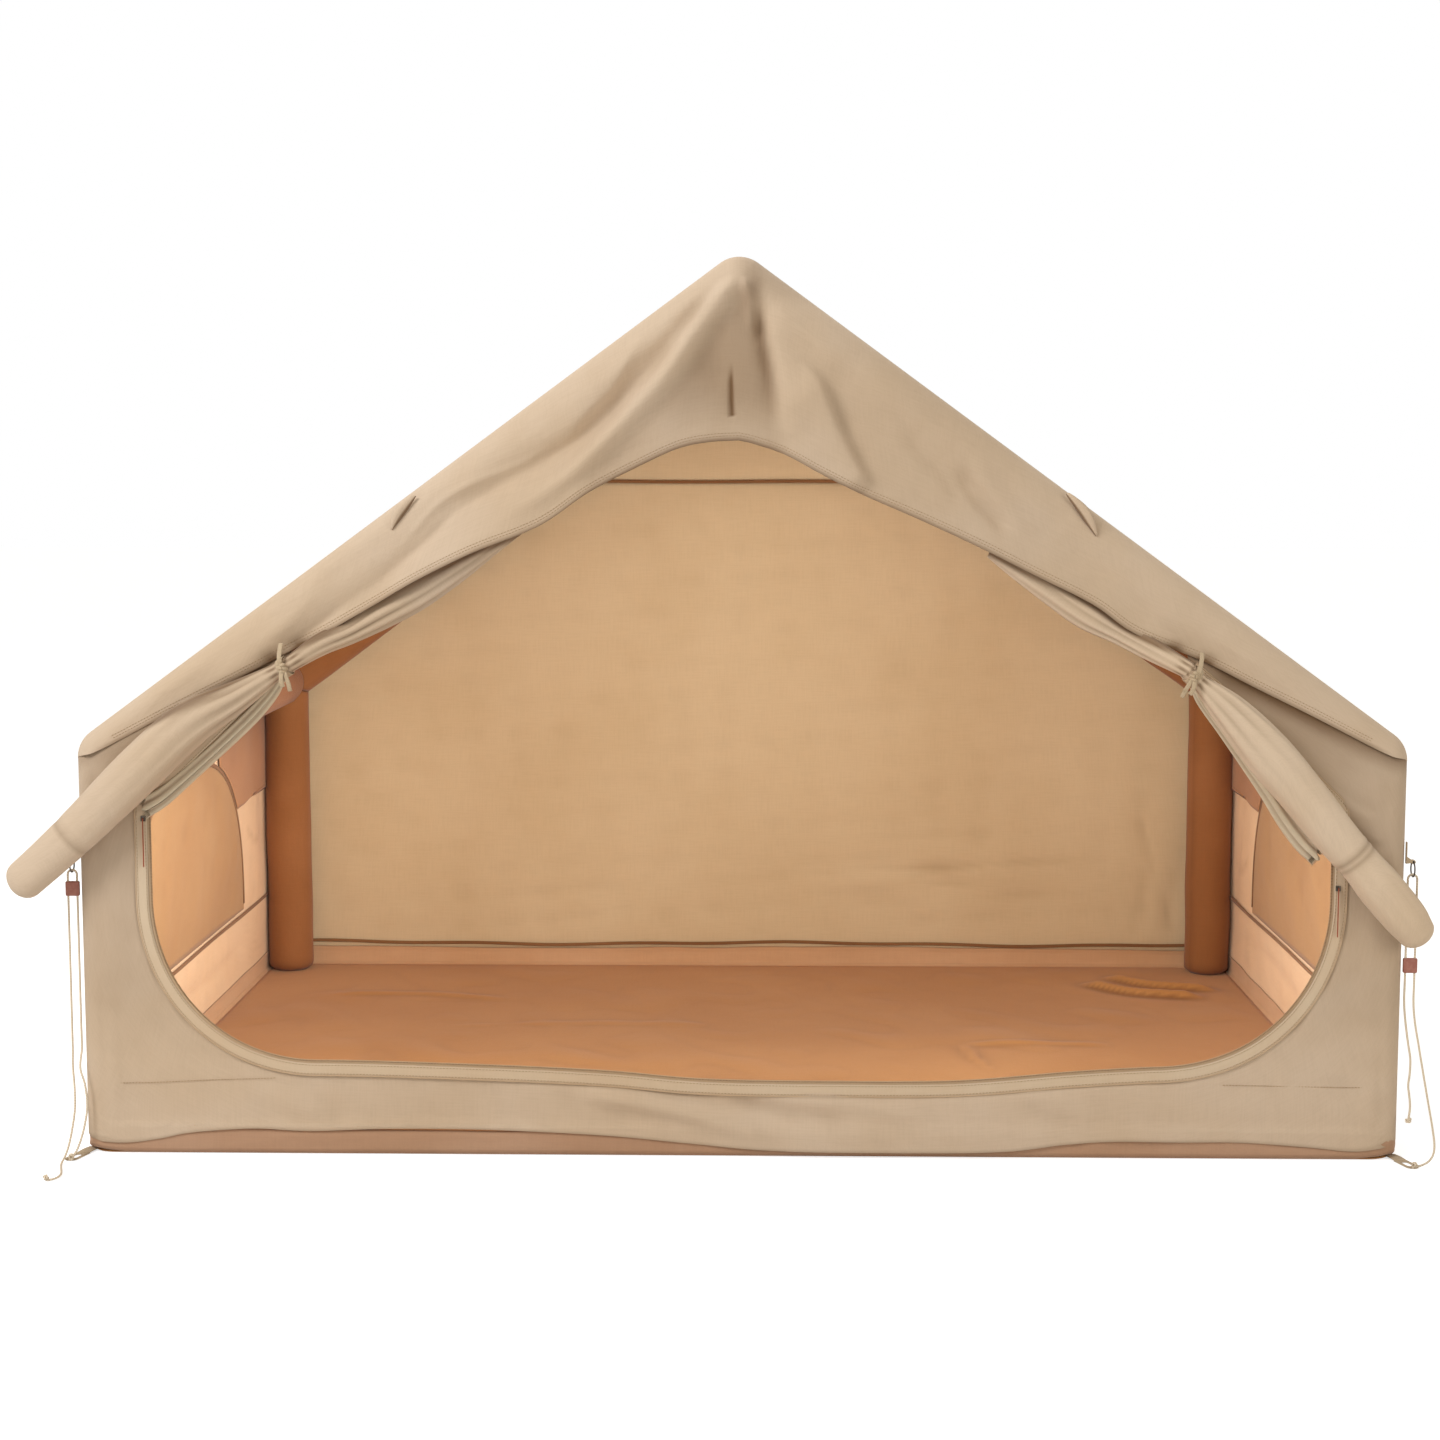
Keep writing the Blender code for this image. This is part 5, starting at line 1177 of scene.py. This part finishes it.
def groundsheet():
    floor, skirt = groundFloor(), groundSkirt()
    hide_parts("groundsheet")
    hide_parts("groundsheet")


# Webbing that joins each peg loop to its corner, under the skirt
def loopTabs():
    loop = {"heading": math.radians(73), "width": 0.029, "under": 0.045}
    for endName, end in (("front", -1), ("rear", 1)):
        for sideName, side in (("left", -1), ("right", 1)):
            way = np.array([side * math.cos(loop["heading"]), end * math.sin(loop["heading"]), 0])
            corner = np.array([side * tent["halfWidth"], end * tent["rear"], 0.0022])
            line = corner + np.outer(np.linspace(-loop["under"], 0.006, 14), way)
            line[:, 2] += 0.0012 * np.sin(np.linspace(0, math.pi, 14))
            name = f"{endName}{sideName.capitalize()}LoopTab"
            tab = ribbon(name, line, np.cross((0, 0, 1), way), (0, 0, 1), loop["width"], 0.0,
                         finishes["webbing"])
            body(tab)


groundsheet()
loopTabs()
print("groundsheet made")


# Air tubes: sleeves with a sewn seam along them, puckered where the air pulls it, mitred where two meet

sleeves = {"radius": 0.0698, "seamLift": 0.0022, "pucker": 0.0014, "puckerStep": 0.032, "footRound": 0.022,
           "columns": 44, "rowStep": 0.012, "gap": 0.0005}


def airSleeve(name, start, end, startPlane, endPlane, seamAngle, seed, foot=False):
    start, end = np.array(start, dtype=float), np.array(end, dtype=float)
    size, sole, gap = sleeves["radius"], sleeves["footRound"], sleeves["gap"]
    axis, length = unit(end - start), math.dist(start, end)
    across = np.array([0.0, 1, 0]) if abs(axis[1]) < 0.5 else np.array([1.0, 0, 0])
    turn = np.linspace(0, 2 * math.pi, sleeves["columns"], endpoint=False)
    ring = np.outer(np.cos(turn), across) + np.outer(np.sin(turn), np.cross(axis, across))
    low = -(ring @ startPlane) / (axis @ startPlane) * size + gap
    high = length - (ring @ endPlane) / (axis @ endPlane) * size - gap
    away = np.angle(np.exp(1j * (turn - seamAngle)))
    places, shade = [], []
    for share in np.linspace(0, 1, max(int(length / sleeves["rowStep"]), 30)):
        along = low + (high - low) * share
        pull = 0.5 + 0.5 * np.cos(along * 2 * math.pi / sleeves["puckerStep"])
        radius = size + 0.0012 * waves(along, turn * 0.07, seed, 0.3) - 0.0012
        radius = radius - sleeves["pucker"] * pull * bell(away, 0, 0.5)
        radius = np.minimum(radius + sleeves["seamLift"] * bell(away, 0, 0.05), size + 0.0006)
        if foot:
            near = np.clip(sole - along, 0, sole)
            radius = radius - sole + np.sqrt(sole**2 - near**2)
        row = start + axis * along[:, None] + ring * radius[:, None]
        # The mitred ends stay inside a ball at the joint
        for joint, beyond in ((end, along > length), (start, along < 0)):
            far = np.linalg.norm(row - joint, axis=1)
            drawnIn = joint + (row - joint) * (size / np.maximum(far, 1e-9))[:, None]
            row = np.where((beyond & (far > size))[:, None], drawnIn, row)
        places.append(row)
        # Darker along the seam, and painted shade at each sleeve's start, at the joints and where the legs
        # stand on the ground
        shade.append(np.clip(0.35 * bell(away, 0, 0.07) + 0.35 * smoothStep(0.05, 0.0, along), 0, 1))
    if foot:
        places.insert(0, start + ring * (size - sole) * 0.1)
        shade.insert(0, shade[0])
    sleeve = clothGrid(name, places, [finishes["sleeve"]], np.array(shade), wrap=True, thickness=0.0012)
    return body(sleeve)


def airFrame():
    up, level, upright = np.array([0.0, 0, 1]), np.array([0.0, 1, 0]), np.array([1.0, 0, 0])
    near, far = frontTube + tent["tubeRadius"], rearTube - tent["tubeRadius"]
    for sideName, side in (("left", -1), ("right", 1)):
        elbow = up + (-side * math.cos(pitch), 0, math.sin(pitch))
        x = side * eaveX
        for endName, y in (("front", frontTube), ("rear", rearTube)):
            name = f"{endName}{sideName.title()}"
            leg = airSleeve(f"{name}Leg", (x, y, 0.0026), (x, y, eaveAxis), up, elbow, 0.9 if side < 0 else 2.2,
                            71 + side, foot=True)
            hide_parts(f"{endName}_{sideName}_leg")
            rafter = airSleeve(f"{name}Rafter", (x, y, eaveAxis), (0, y, ridgeAxis), elbow, upright, 2.4,
                               75 + side)
            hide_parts(f"{endName}_{sideName}_rafter")
        beam = airSleeve(f"{sideName}EaveBeam", (x, near, eaveAxis), (x, far, eaveAxis), level, level, 1.0,
                         81 + side)
        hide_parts(f"{sideName}_eave_beam")
    ridge = airSleeve("ridgeBeam", (0, near, ridgeAxis), (0, far, ridgeAxis), level, level, 4.7, 85)
    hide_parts("ridge_beam")


airFrame()
print("air tubes made")


# Door leaves and nets: cloth wound through stations of x, y, z, half height, half depth and pleat depth

rolls = {"length": 0.76, "radius": 0.062, "leafRadius": 0.044, "flatness": 0.74, "leafFlatness": 0.55,
         "neck": 0.022, "strapWidth": 0.025}
ties = {
    "left": {"side": -1, "x": 1.012, "drop": 0.183, "heading": (-0.86, 0, -0.51), "finish": "outer",
             "phase": 0.3, "rings": [(1.17, 0.04, 0.006), (1.26, 0.02, 0.01)],
             "leaf": [(0.313, 0.63, 0.27), (0.367, 0.606, 0.55), (0.42, 0.589, 0.82), (0.48, 0.565, 1),
                      (0.533, 0.531, 0.98), (0.58, 0.505, 0.77)],
             "hem": (0.622, 0.462, 1.35),
             "roll": [(0.142, -0.089, 0.68, 0.28), (0.276, -0.167, 0.94, 0.14), (0.418, -0.292, 1, 0.05),
                      (0.596, -0.466, 0.9, 0.02), (0.701, -0.563, 0.84, 0.01), (0.78, -0.632, 0.81, 0)],
             "net": [(0.008, -0.024, -0.022, 0.011, 0.011, 0.2), (0.031, -0.055, -0.010, 0.017, 0.014, 0.3),
                     (0.071, -0.098, 0.002, 0.021, 0.016, 0.34), (0.119, -0.144, 0.008, 0.022, 0.017, 0.34),
                     (0.177, -0.197, 0.010, 0.022, 0.017, 0.32), (0.239, -0.251, 0.010, 0.024, 0.018, 0.3),
                     (0.290, -0.293, 0.006, 0.028, 0.020, 0.36), (0.322, -0.312, 0.000, 0.031, 0.020, 0.44)]},
    # The right leaf takes the lighter copy of the outer canvas, painted light
    "right": {"side": 1, "x": 1.006, "drop": 0.202, "heading": (0.72, 0, -0.69), "finish": "leaf", "phase": 2.1,
              "rings": [(1.062, -0.022, 0.004), (1.070, 0.014, 0.003), (1.080, -0.022, 0.004),
                        (1.089, 0.014, 0.003), (1.099, -0.022, 0.004)],
              "leaf": [(0.373, 0.618, 0.36), (0.413, 0.592, 0.66), (0.467, 0.568, 0.89), (0.52, 0.556, 0.95),
                       (0.567, 0.536, 0.7)],
              "hem": (0.612, 0.506, 1.3),
              "roll": [(0.111, -0.105, 0.73, 0.2), (0.217, -0.221, 0.94, 0.06), (0.324, -0.343, 0.91, 0.03),
                       (0.422, -0.463, 0.85, 0.02), (0.496, -0.546, 0.80, 0.02), (0.558, -0.62, 0.88, 0.03),
                       (0.63, -0.705, 0.85, 0.03), (0.666, -0.751, 0.73, 0)],
              "net": [(0.004, -0.026, -0.022, 0.011, 0.011, 0.2), (0.027, -0.062, -0.010, 0.015, 0.014, 0.28),
                      (0.077, -0.128, 0.002, 0.016, 0.015, 0.32), (0.131, -0.200, 0.008, 0.019, 0.016, 0.34),
                      (0.180, -0.264, 0.010, 0.024, 0.018, 0.32), (0.222, -0.326, 0.010, 0.027, 0.020, 0.3),
                      (0.260, -0.374, 0.006, 0.029, 0.020, 0.36), (0.284, -0.398, 0.000, 0.028, 0.020, 0.44)]},
}


def tiePlace(tie):
    return np.array([tie["side"] * tie["x"], tent["front"] - 0.003 - rolls["neck"],
                     float(roofHeight(tie["x"])) - tie["drop"]])


def leafStations(tie):
    side, front, neck = tie["side"], tent["front"], rolls["neck"]
    made = []
    for k, (xShare, dropShare, share) in enumerate(tie["leaf"]):
        x, z = onGable(xShare, dropShare)
        radius = share * rolls["leafRadius"]
        deep = radius * rolls["leafFlatness"]
        made.append((side * x, front + tent["canvas"] + 0.0005 + deep, z, radius, deep, 0.08 + 0.05 * k))
    x, z = onGable(*tie["hem"][:2])
    made.append((side * x, front, z, neck * tie["hem"][2], neck * 0.82, 0.2))
    at, way = tiePlace(tie), unit(np.array(tie["heading"]))
    for share in (-1.0, -0.55, 0.55, 1.0):
        made.append((*(at + way * share * rolls["strapWidth"]), neck, neck, 0.08))
    for out, rise, share, pleat in tie["roll"]:
        radius = share * rolls["radius"]
        deep = radius * rolls["flatness"]
        made.append((at[0] + side * out * rolls["length"], front - 0.003 - deep, at[2] + rise * rolls["length"],
                     radius, deep, pleat))
    return np.array(made)


def netStations(tie):
    at, side = tiePlace(tie), tie["side"]
    made = []
    for out, rise, back, *sizes in tie["net"]:
        made.append((at[0] + side * out, tent["front"] + back, at[2] + rise, *sizes))
    return np.array(made)


# The path with its last cross-section drawn in to close the end, or let out a little where it stays open
def withEnd(path, closeEnd):
    last, heading = path[-1][:3], unit(path[-1][:3] - path[-2][:3])
    high, deep, pleat = path[-1][3:]
    made = list(path)
    for share in (0.25, 0.45, 0.62, 0.76, 0.87, 0.95) if closeEnd else (0.2, 0.4):
        size = math.sqrt(1 - share * share) if closeEnd else 1 + 0.1 * share
        made.append([*(last + heading * share * min(high, deep)), high * size, deep * size, pleat])
    return np.array(made)


# The two ways across a heading: upwards along the wall, and out of it
def crossWays(ahead):
    up = unit(np.cross(ahead, (0, 1, 0)))
    up = up if up[2] >= 0 else -up
    return up, np.cross(ahead, up)


# Cloth wound in a spiral round a path, with pleats that run along it and die away from the tie
def woundCloth(name, stations, turns, material, pleats, seed, phase, thickness, steps, sides, closeEnd=True,
               rings=(), ragged=0.0, neck=None):
    path = withEnd(splined(stations, steps), closeEnd)
    lengths = lengthsAlong(path[:, :3])
    turn = np.linspace(0, turns * 2 * math.pi, int(turns * sides) + 1)
    wind = 0.22 + 0.78 * turn / turn[-1]
    angle = turn + phase
    phases = np.random.default_rng(seed).uniform(0, 2 * math.pi, (6,))
    ahead = headings(path[:, :3])
    places, shade = [], []
    for k, ((*place, high, deep, pleat), length) in enumerate(zip(path, lengths)):
        up, out = crossWays(ahead[k])
        broad = 0.5 + 0.5 * np.cos(pleats * angle + 0.5 * math.sin(length * 6) + phases[0])
        fine = 0.5 + 0.5 * np.cos((pleats + 5) * angle + phases[1] + length * 3)
        slow = 0.5 * np.cos(2 * angle + phases[2] + length * 5)
        slow = slow + 0.5 * np.cos(3 * angle + phases[3] - length * 9)
        swell = 1 - pleat * (0.75 * broad**2 + 0.25 * fine) - 0.02 * (1 + slow)
        edge = 0
        for where, size, width in rings:
            swell = swell - size * bell(length, where, width)
            edge += (0.5 if size > 0 else 0.15) * bell(length, where, width * 0.7)
        if neck is not None:
            edge = edge + 0.9 * broad**2 * bell(math.dist(place, neck), 0.026, 0.014)
        frill = ragged * smoothStep(len(path) - 7, len(path) - 1, k)
        frill = frill * (np.cos(5 * angle + phases[4]) + 0.5 * np.cos(11 * angle + phases[5]))
        row = np.outer(high * wind * swell * np.cos(angle), up)
        row = row + np.outer(deep * wind * swell * np.sin(angle), out)
        places.append(np.array(place) + row + np.outer(frill, ahead[k]))
        # Painted shade: darker in the pleats' valleys, at the rings and round the neck at the tie
        shade.append(np.clip(pleat * 1.7 * broad**3 + edge, 0, 0.8))
    places, shade = np.array(places), np.array(shade)
    # Painted shadow on the cloth just under the canopy's hem
    below = hemHeight(places[..., 0]) - places[..., 2]
    shadowUnderHem = smoothStep(0.016, 0.002, below) * smoothStep(-0.02, -0.005, below)
    shadowUnderHem = shadowUnderHem * (places[..., 1] < tent["front"] + 0.02)
    return clothGrid(name, places, [material], np.clip(shade + 0.8 * shadowUnderHem, 0, 0.9), thickness=thickness)


def doorRolls():
    for name, tie in ties.items():
        side = tie["side"]
        leaf = woundCloth(f"{name}DoorLeaf", leafStations(tie), 5.3, finishes[tie["finish"]], 8, 91 + side,
                          tie["phase"], tent["canvas"], 9, 34, rings=tie["rings"], neck=tiePlace(tie))
        body(leaf)
        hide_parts(f"{name}_door_roll")
        net = woundCloth(f"{name}DoorNet", netStations(tie), 5.5, finishes["net"], 6, 95 + side, 1.0,
                         0.0008, 8, 36, closeEnd=False, ragged=0.008)
        body(net)
        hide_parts(f"{name}_net_roll")


# Tie straps: a band round the neck, with a loop that goes up to the hem and two short ends.
# Their points are distances along the roll, up and out of the wall.
strapTails = {
    "Loop": [(0.002, 0.004, 0), (-0.004, 0.020, 0.003), (-0.013, 0.036, -0.006), (-0.022, 0.050, -0.020)],
    "EndA": [(0, -0.002, 0), (0.002, -0.016, 0.004), (0.006, -0.034, 0.002), (0.013, -0.052, -0.004)],
    "EndB": [(0.001, 0, 0), (0.008, -0.010, 0.006), (0.017, -0.024, 0.006), (0.020, -0.036, 0.002)],
}


def tieStraps():
    out = np.array([0.0, -1, 0])
    inner = rolls["neck"] + 0.0008
    turn = np.linspace(0, 2 * math.pi, 61)
    for name, tie in ties.items():
        at, way = tiePlace(tie), unit(np.array(tie["heading"]))
        up = crossWays(way)[0]
        radial = np.outer(np.cos(turn), up) + np.outer(np.sin(turn), out)
        line = at + inner * radial + np.outer(0.004 * np.sin(turn), way)
        band = ribbon(f"{name}TieStrap", line, way, radial, 0.019, 0.0, finishes["webbing"], 0.0014)
        body(band)
        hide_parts(f"{name}_tie_strap")
        front = at + out * (inner + 0.002)
        for tail, points in strapTails.items():
            path = splined(front + np.array(points) @ np.array([way, up, out]), 8)
            ahead = headings(path)
            across = unit(np.cross(ahead, out))
            strip = ribbon(f"{name}Tie{tail}", path, across, np.cross(across, ahead), 0.010, 0.0006,
                           finishes["webbing"], 0.0014)
            body(strip)
        knot = tubeAlong(f"{name}TieKnot", knotRound(front + out * 0.001, way, up, out), 0.0042,
                         finishes["webbing"], sides=8)
        body(knot)


def knotRound(place, way, up, out):
    turn = np.linspace(0, 2 * math.pi, 34)
    wound = place + np.outer(0.007 * np.sin(turn), up) + np.outer(0.0065 * np.sin(2 * turn), way)
    return wound + np.outer(0.0035 * np.cos(3 * turn), out)


doorRolls()
tieStraps()
print("door leaves and ties made")


# Short darts in the gable cloth under the roof edge, a light fold over painted shadow
darts = [
    ("left", -1, [(-0.716, 1.500), (-0.735, 1.470), (-0.752, 1.447), (-0.770, 1.425)]),
    ("right", 1, [(0.722, 1.505), (0.745, 1.470), (0.765, 1.442), (0.790, 1.412)]),
]


def gableDarts():
    for name, side, points in darts:
        path = splined([(x, tent["front"] - 0.004, z) for x, z in points], 6)
        share = np.linspace(0, 1, len(path))
        width = 0.022 * np.sin(math.pi * np.clip(share * 0.85 + 0.1, 0, 1))
        rows = []
        for across in np.linspace(0, 1, 7):
            lift = 0.010 * np.sin(math.pi * across * 0.8) * np.sin(math.pi * share) ** 0.7
            rows.append(path + np.stack([side * width * across, -lift, 0.55 * width * across], axis=1))
        # Painted shadow on the two rows under the light fold
        shade = np.concatenate([np.full((2, len(path)), 0.9), np.zeros((5, len(path)))])
        dart = clothGrid(f"{name}GableDart", rows, [finishes["outer"]], shade, facing=(0, -1, 0),
                         thickness=0.0012)
        body(dart)
        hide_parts(f"{name}_rafter_tab")


gableDarts()


# Stitches along a line: a tree that spaces small threads on the line's points

def stitchTree(name):
    tree = bpy.data.node_groups.new(name, "GeometryNodeTree")
    face = tree.interface
    face.new_socket("Geometry", in_out="INPUT", socket_type="NodeSocketGeometry")
    for label, value in (("Spacing", 0.008), ("Length", 0.005), ("Thickness", 0.001), ("Height", 0.0008)):
        face.new_socket(label, in_out="INPUT", socket_type="NodeSocketFloat").default_value = value
    face.new_socket("Finish", in_out="INPUT", socket_type="NodeSocketMaterial")
    face.new_socket("Geometry", in_out="OUTPUT", socket_type="NodeSocketGeometry")
    start = tree.nodes.new("NodeGroupInput").outputs
    end = tree.nodes.new("NodeGroupOutput")

    def step(kind, inputs=None, **settings):
        return node(tree, kind, inputs, **settings).outputs

    line = step("GeometryNodeMeshToCurve", {"Mesh": start["Geometry"]})
    spaced = step("GeometryNodeCurveToPoints", {"Curve": line["Curve"], "Length": start["Spacing"]},
                  mode="LENGTH")
    size = step("ShaderNodeCombineXYZ", {"X": start["Thickness"], "Y": start["Length"], "Z": start["Height"]})
    block = step("GeometryNodeMeshCube", {"Size": size[0], "Vertices Y": 3})
    place = step("GeometryNodeInputPosition")
    apart = step("ShaderNodeSeparateXYZ", {0: place[0]})
    along = maths(tree, "DIVIDE", apart[1], start["Length"])
    fromMiddle = maths(tree, "ABSOLUTE", along)
    shrink = step("ShaderNodeMapRange", {0: fromMiddle, 1: 0.0, 2: 0.5, 3: 1.0, 4: 0.35})
    slim = step("ShaderNodeCombineXYZ", {"X": shrink[0], "Y": 1.0, "Z": shrink[0]})
    shaped = step("ShaderNodeVectorMath", {0: place[0], 1: slim[0]}, operation="MULTIPLY")
    thread = step("GeometryNodeSetPosition", {"Geometry": block["Mesh"], "Position": shaped[0]})
    turn = step("FunctionNodeAlignRotationToVector", {"Vector": spaced["Tangent"]}, axis="Y")
    spread = {"Points": spaced["Points"], "Instance": thread["Geometry"], "Rotation": turn[0]}
    copies = step("GeometryNodeInstanceOnPoints", spread)
    real = step("GeometryNodeRealizeInstances", {"Geometry": copies["Instances"]})
    dressed = step("GeometryNodeSetMaterial", {"Geometry": real["Geometry"], "Material": start["Finish"]})
    tree.links.new(dressed["Geometry"], end.inputs["Geometry"])
    return tree


stitching = stitchTree("stitches")


def stitchLines(name, lines, sizes, material):
    verts, edges = [], []
    for line in lines:
        edges.extend((len(verts) + i, len(verts) + i + 1) for i in range(len(line) - 1))
        verts.extend(tuple(place) for place in line)
    data = bpy.data.meshes.new(f"{name}Guide")
    data.from_pydata(verts, edges, [])
    guide = addObject(f"{name}Guide", data)
    sewn = guide.modifiers.new("stitches", "NODES")
    sewn.node_group = stitching
    inputs = dict(zip(("Spacing", "Length", "Thickness", "Height"), sizes), Finish=material)
    for socket in stitching.interface.items_tree:
        if socket.name in inputs:
            sewn[socket.identifier] = inputs[socket.name]
    made = bpy.data.meshes.new_from_object(guide.evaluated_get(bpy.context.evaluated_depsgraph_get()))
    made.name = name
    bpy.data.objects.remove(guide)
    body(addObject(name, made))


def sillLine(points):
    return [(x, tent["front"] + 0.0022, z) for x, z in points]


# Rows on the canopy's hem, taken from the sheet itself so that they lie on the folds
def hemLines():
    lines = []
    for above in (0.011, 0.017):
        line = []
        for column in gableFront.transpose(1, 0, 2):
            if abs(column[0, 0]) <= 1.40:
                covered = lengthsAlong(column)
                line.append([np.interp(above, covered, column[:, k]) for k in range(3)]
                            + np.array([0, -0.0006, 0]))
        lines.append(line)
    return lines


# Spacing, length, thickness and height
stitchSizes = {
    "fine": (0.0075, 0.0052, 0.0009, 0.0009),
    "sill": (0.007, 0.0055, 0.0012, 0.0012),
    "teeth": (0.0034, 0.0019, 0.0052, 0.0016),
}
bandOut = bandLine + (0, -0.0016, 0)
teethLine = bandLine - bandAcross * 0.0205 + (0, 0.0012, 0)
sillSeams = [sillLine([(-1.06, 0.177), (-1.20, 0.172), (-1.34, 0.165), (-1.44, 0.163)]),
             sillLine([(1.10, 0.172), (1.24, 0.170), (1.36, 0.168), (1.44, 0.168)])]
stitchLines("hemStitches", hemLines(), stitchSizes["fine"], finishes["thread"])
stitchLines("bandStitches", [bandOut + bandAcross * 0.0095, bandOut - bandAcross * 0.0105], stitchSizes["fine"],
            finishes["thread"])
stitchLines("zipTeeth", [teethLine], stitchSizes["teeth"], finishes["zip"])
stitchLines("sillStitches", sillSeams, stitchSizes["sill"], finishes["thread"])
print("stitches made")


# CAD pieces that keep their shape get their finish here
carried = {
    "webbing": ["left_guy_tab", "right_guy_tab", "front_left_peg_loop", "front_right_peg_loop",
                "rear_left_peg_loop", "rear_right_peg_loop"],
    "plastic": ["left_guy_tensioner", "right_guy_tensioner"],
    "darkSteel": ["left_guy_ring", "right_guy_ring", "left_door_slider", "right_door_slider",
                  "left_window_slider", "right_window_slider"],
    "leather": ["left_door_pull", "right_door_pull", "left_window_pull", "right_window_pull"],
    "black": ["valve_body", "valve_plunger", "valve_cap", "relief_valve"],
    "brightSteel": ["valve_spring"],
}
for finishName, nodeNames in carried.items():
    for nodeName in nodeNames:
        for place in bpy.data.objects[nodeName].material_slots:
            place.material = finishes[finishName]


# Floor, white surroundings and lamps

studio = {"floorSize": 40, "floorColour": (0.82, 0.82, 0.82, 1), "floorGlow": 0.66,
          "softColour": (1, 0.958, 0.89, 1), "softStrength": 0.42}
# Name, place, aim, size, power, colour and spread
lamps = [
    ("keyLamp", (-4.4, -4.6, 4.9), (0, -0.6, 0.8), (2.6, 2.6), 280, (0.985, 1, 1.05), 180),
    ("fillLamp", (5.2, -5.5, 2.4), (0.6, -0.5, 0.8), (4, 3), 95, (1, 0.97, 0.94), 180),
    ("topLamp", (0, 1.0, 5.6), (0, 0.2, 1.0), (4, 4), 100, (1, 1, 1), 180),
    ("leftDoorLamp", (-0.78, -0.88, 0.66), (-0.85, 1.0, 0.72), (0.76, 0.7), 13, (0.94, 0.985, 1), 180),
    ("rightDoorLamp", (0.78, -0.88, 0.66), (0.85, 1.0, 0.72), (0.76, 0.7), 11.3, (0.94, 0.985, 1), 180),
    ("ridgeLamp", (0, 0.1, 1.66), (0, 0.3, 0), (0.4, 1.0), 3.8, (0.94, 0.98, 1), 180),
    ("leftInnerLamp", (-0.7, 0.0, 0.6), (-1.5, 0.12, 0.6), (1.4, 0.7), 2.8, (0.96, 0.98, 1), 110),
    ("rightInnerLamp", (0.7, 0.0, 0.6), (1.5, 0.12, 0.6), (1.4, 0.7), 1.5, (0.96, 0.98, 1), 110),
]


def seenRay(tree):
    path = node(tree, "ShaderNodeLightPath").outputs
    seen = maths(tree, "MAXIMUM", path["Is Camera Ray"], path["Is Glossy Ray"])
    return maths(tree, "MAXIMUM", seen, path["Is Transmission Ray"])


def studioFloor():
    size = studio["floorSize"]
    data = bpy.data.meshes.new("studioFloor")
    data.from_pydata([(-size, -size, 0), (size, -size, 0), (size, size, 0), (-size, size, 0)], [],
                     [(0, 1, 2, 3)])
    floor = addObject("studioFloor", data)
    floor.location.z = -0.0015
    made = bpy.data.materials.new("studioFloor")
    made.use_nodes = True
    tree = made.node_tree
    shader = tree.nodes["Principled BSDF"]
    shader.inputs["Base Color"].default_value = studio["floorColour"]
    shader.inputs["Roughness"].default_value = 0.9
    shader.inputs["Specular IOR Level"].default_value = 0.1
    glow = node(tree, "ShaderNodeEmission", {"Color": (1, 1, 1, 1), "Strength": studio["floorGlow"]})
    both = node(tree, "ShaderNodeAddShader", {0: shader.outputs[0], 1: glow.outputs[0]})
    mixed = node(tree, "ShaderNodeMixShader", {0: seenRay(tree), 1: shader.outputs[0], 2: both.outputs[0]})
    tree.links.new(mixed.outputs[0], tree.nodes["Material Output"].inputs["Surface"])
    data.materials.append(made)


def surroundings():
    world = bpy.data.worlds.new("studio")
    bpy.context.scene.world = world
    world.use_nodes = True
    tree = world.node_tree
    tree.nodes.clear()
    seen = seenRay(tree)
    soft = node(tree, "ShaderNodeBackground",
                {"Color": studio["softColour"], "Strength": studio["softStrength"]})
    white = node(tree, "ShaderNodeBackground", {"Color": (1, 1, 1, 1), "Strength": 1.0})
    mixed = node(tree, "ShaderNodeMixShader", {0: seen, 1: soft.outputs[0], 2: white.outputs[0]})
    out = tree.nodes.new("ShaderNodeOutputWorld")
    tree.links.new(mixed.outputs[0], out.inputs["Surface"])


def lamp(name, place, aim, size, power, colour, spread):
    data = bpy.data.lights.new(name, "AREA")
    data.shape = "RECTANGLE"
    data.size, data.size_y = size
    data.energy = power
    data.color = colour
    data.spread = math.radians(spread)
    made = addObject(name, data)
    made.location = place
    made.rotation_euler = (Vector(aim) - Vector(place)).to_track_quat("-Z", "Y").to_euler()
    made.visible_camera = False


studioFloor()
surroundings()
for row in lamps:
    lamp(*row)
bpy.context.scene.view_settings.view_transform = "Standard"

print("scene ready")
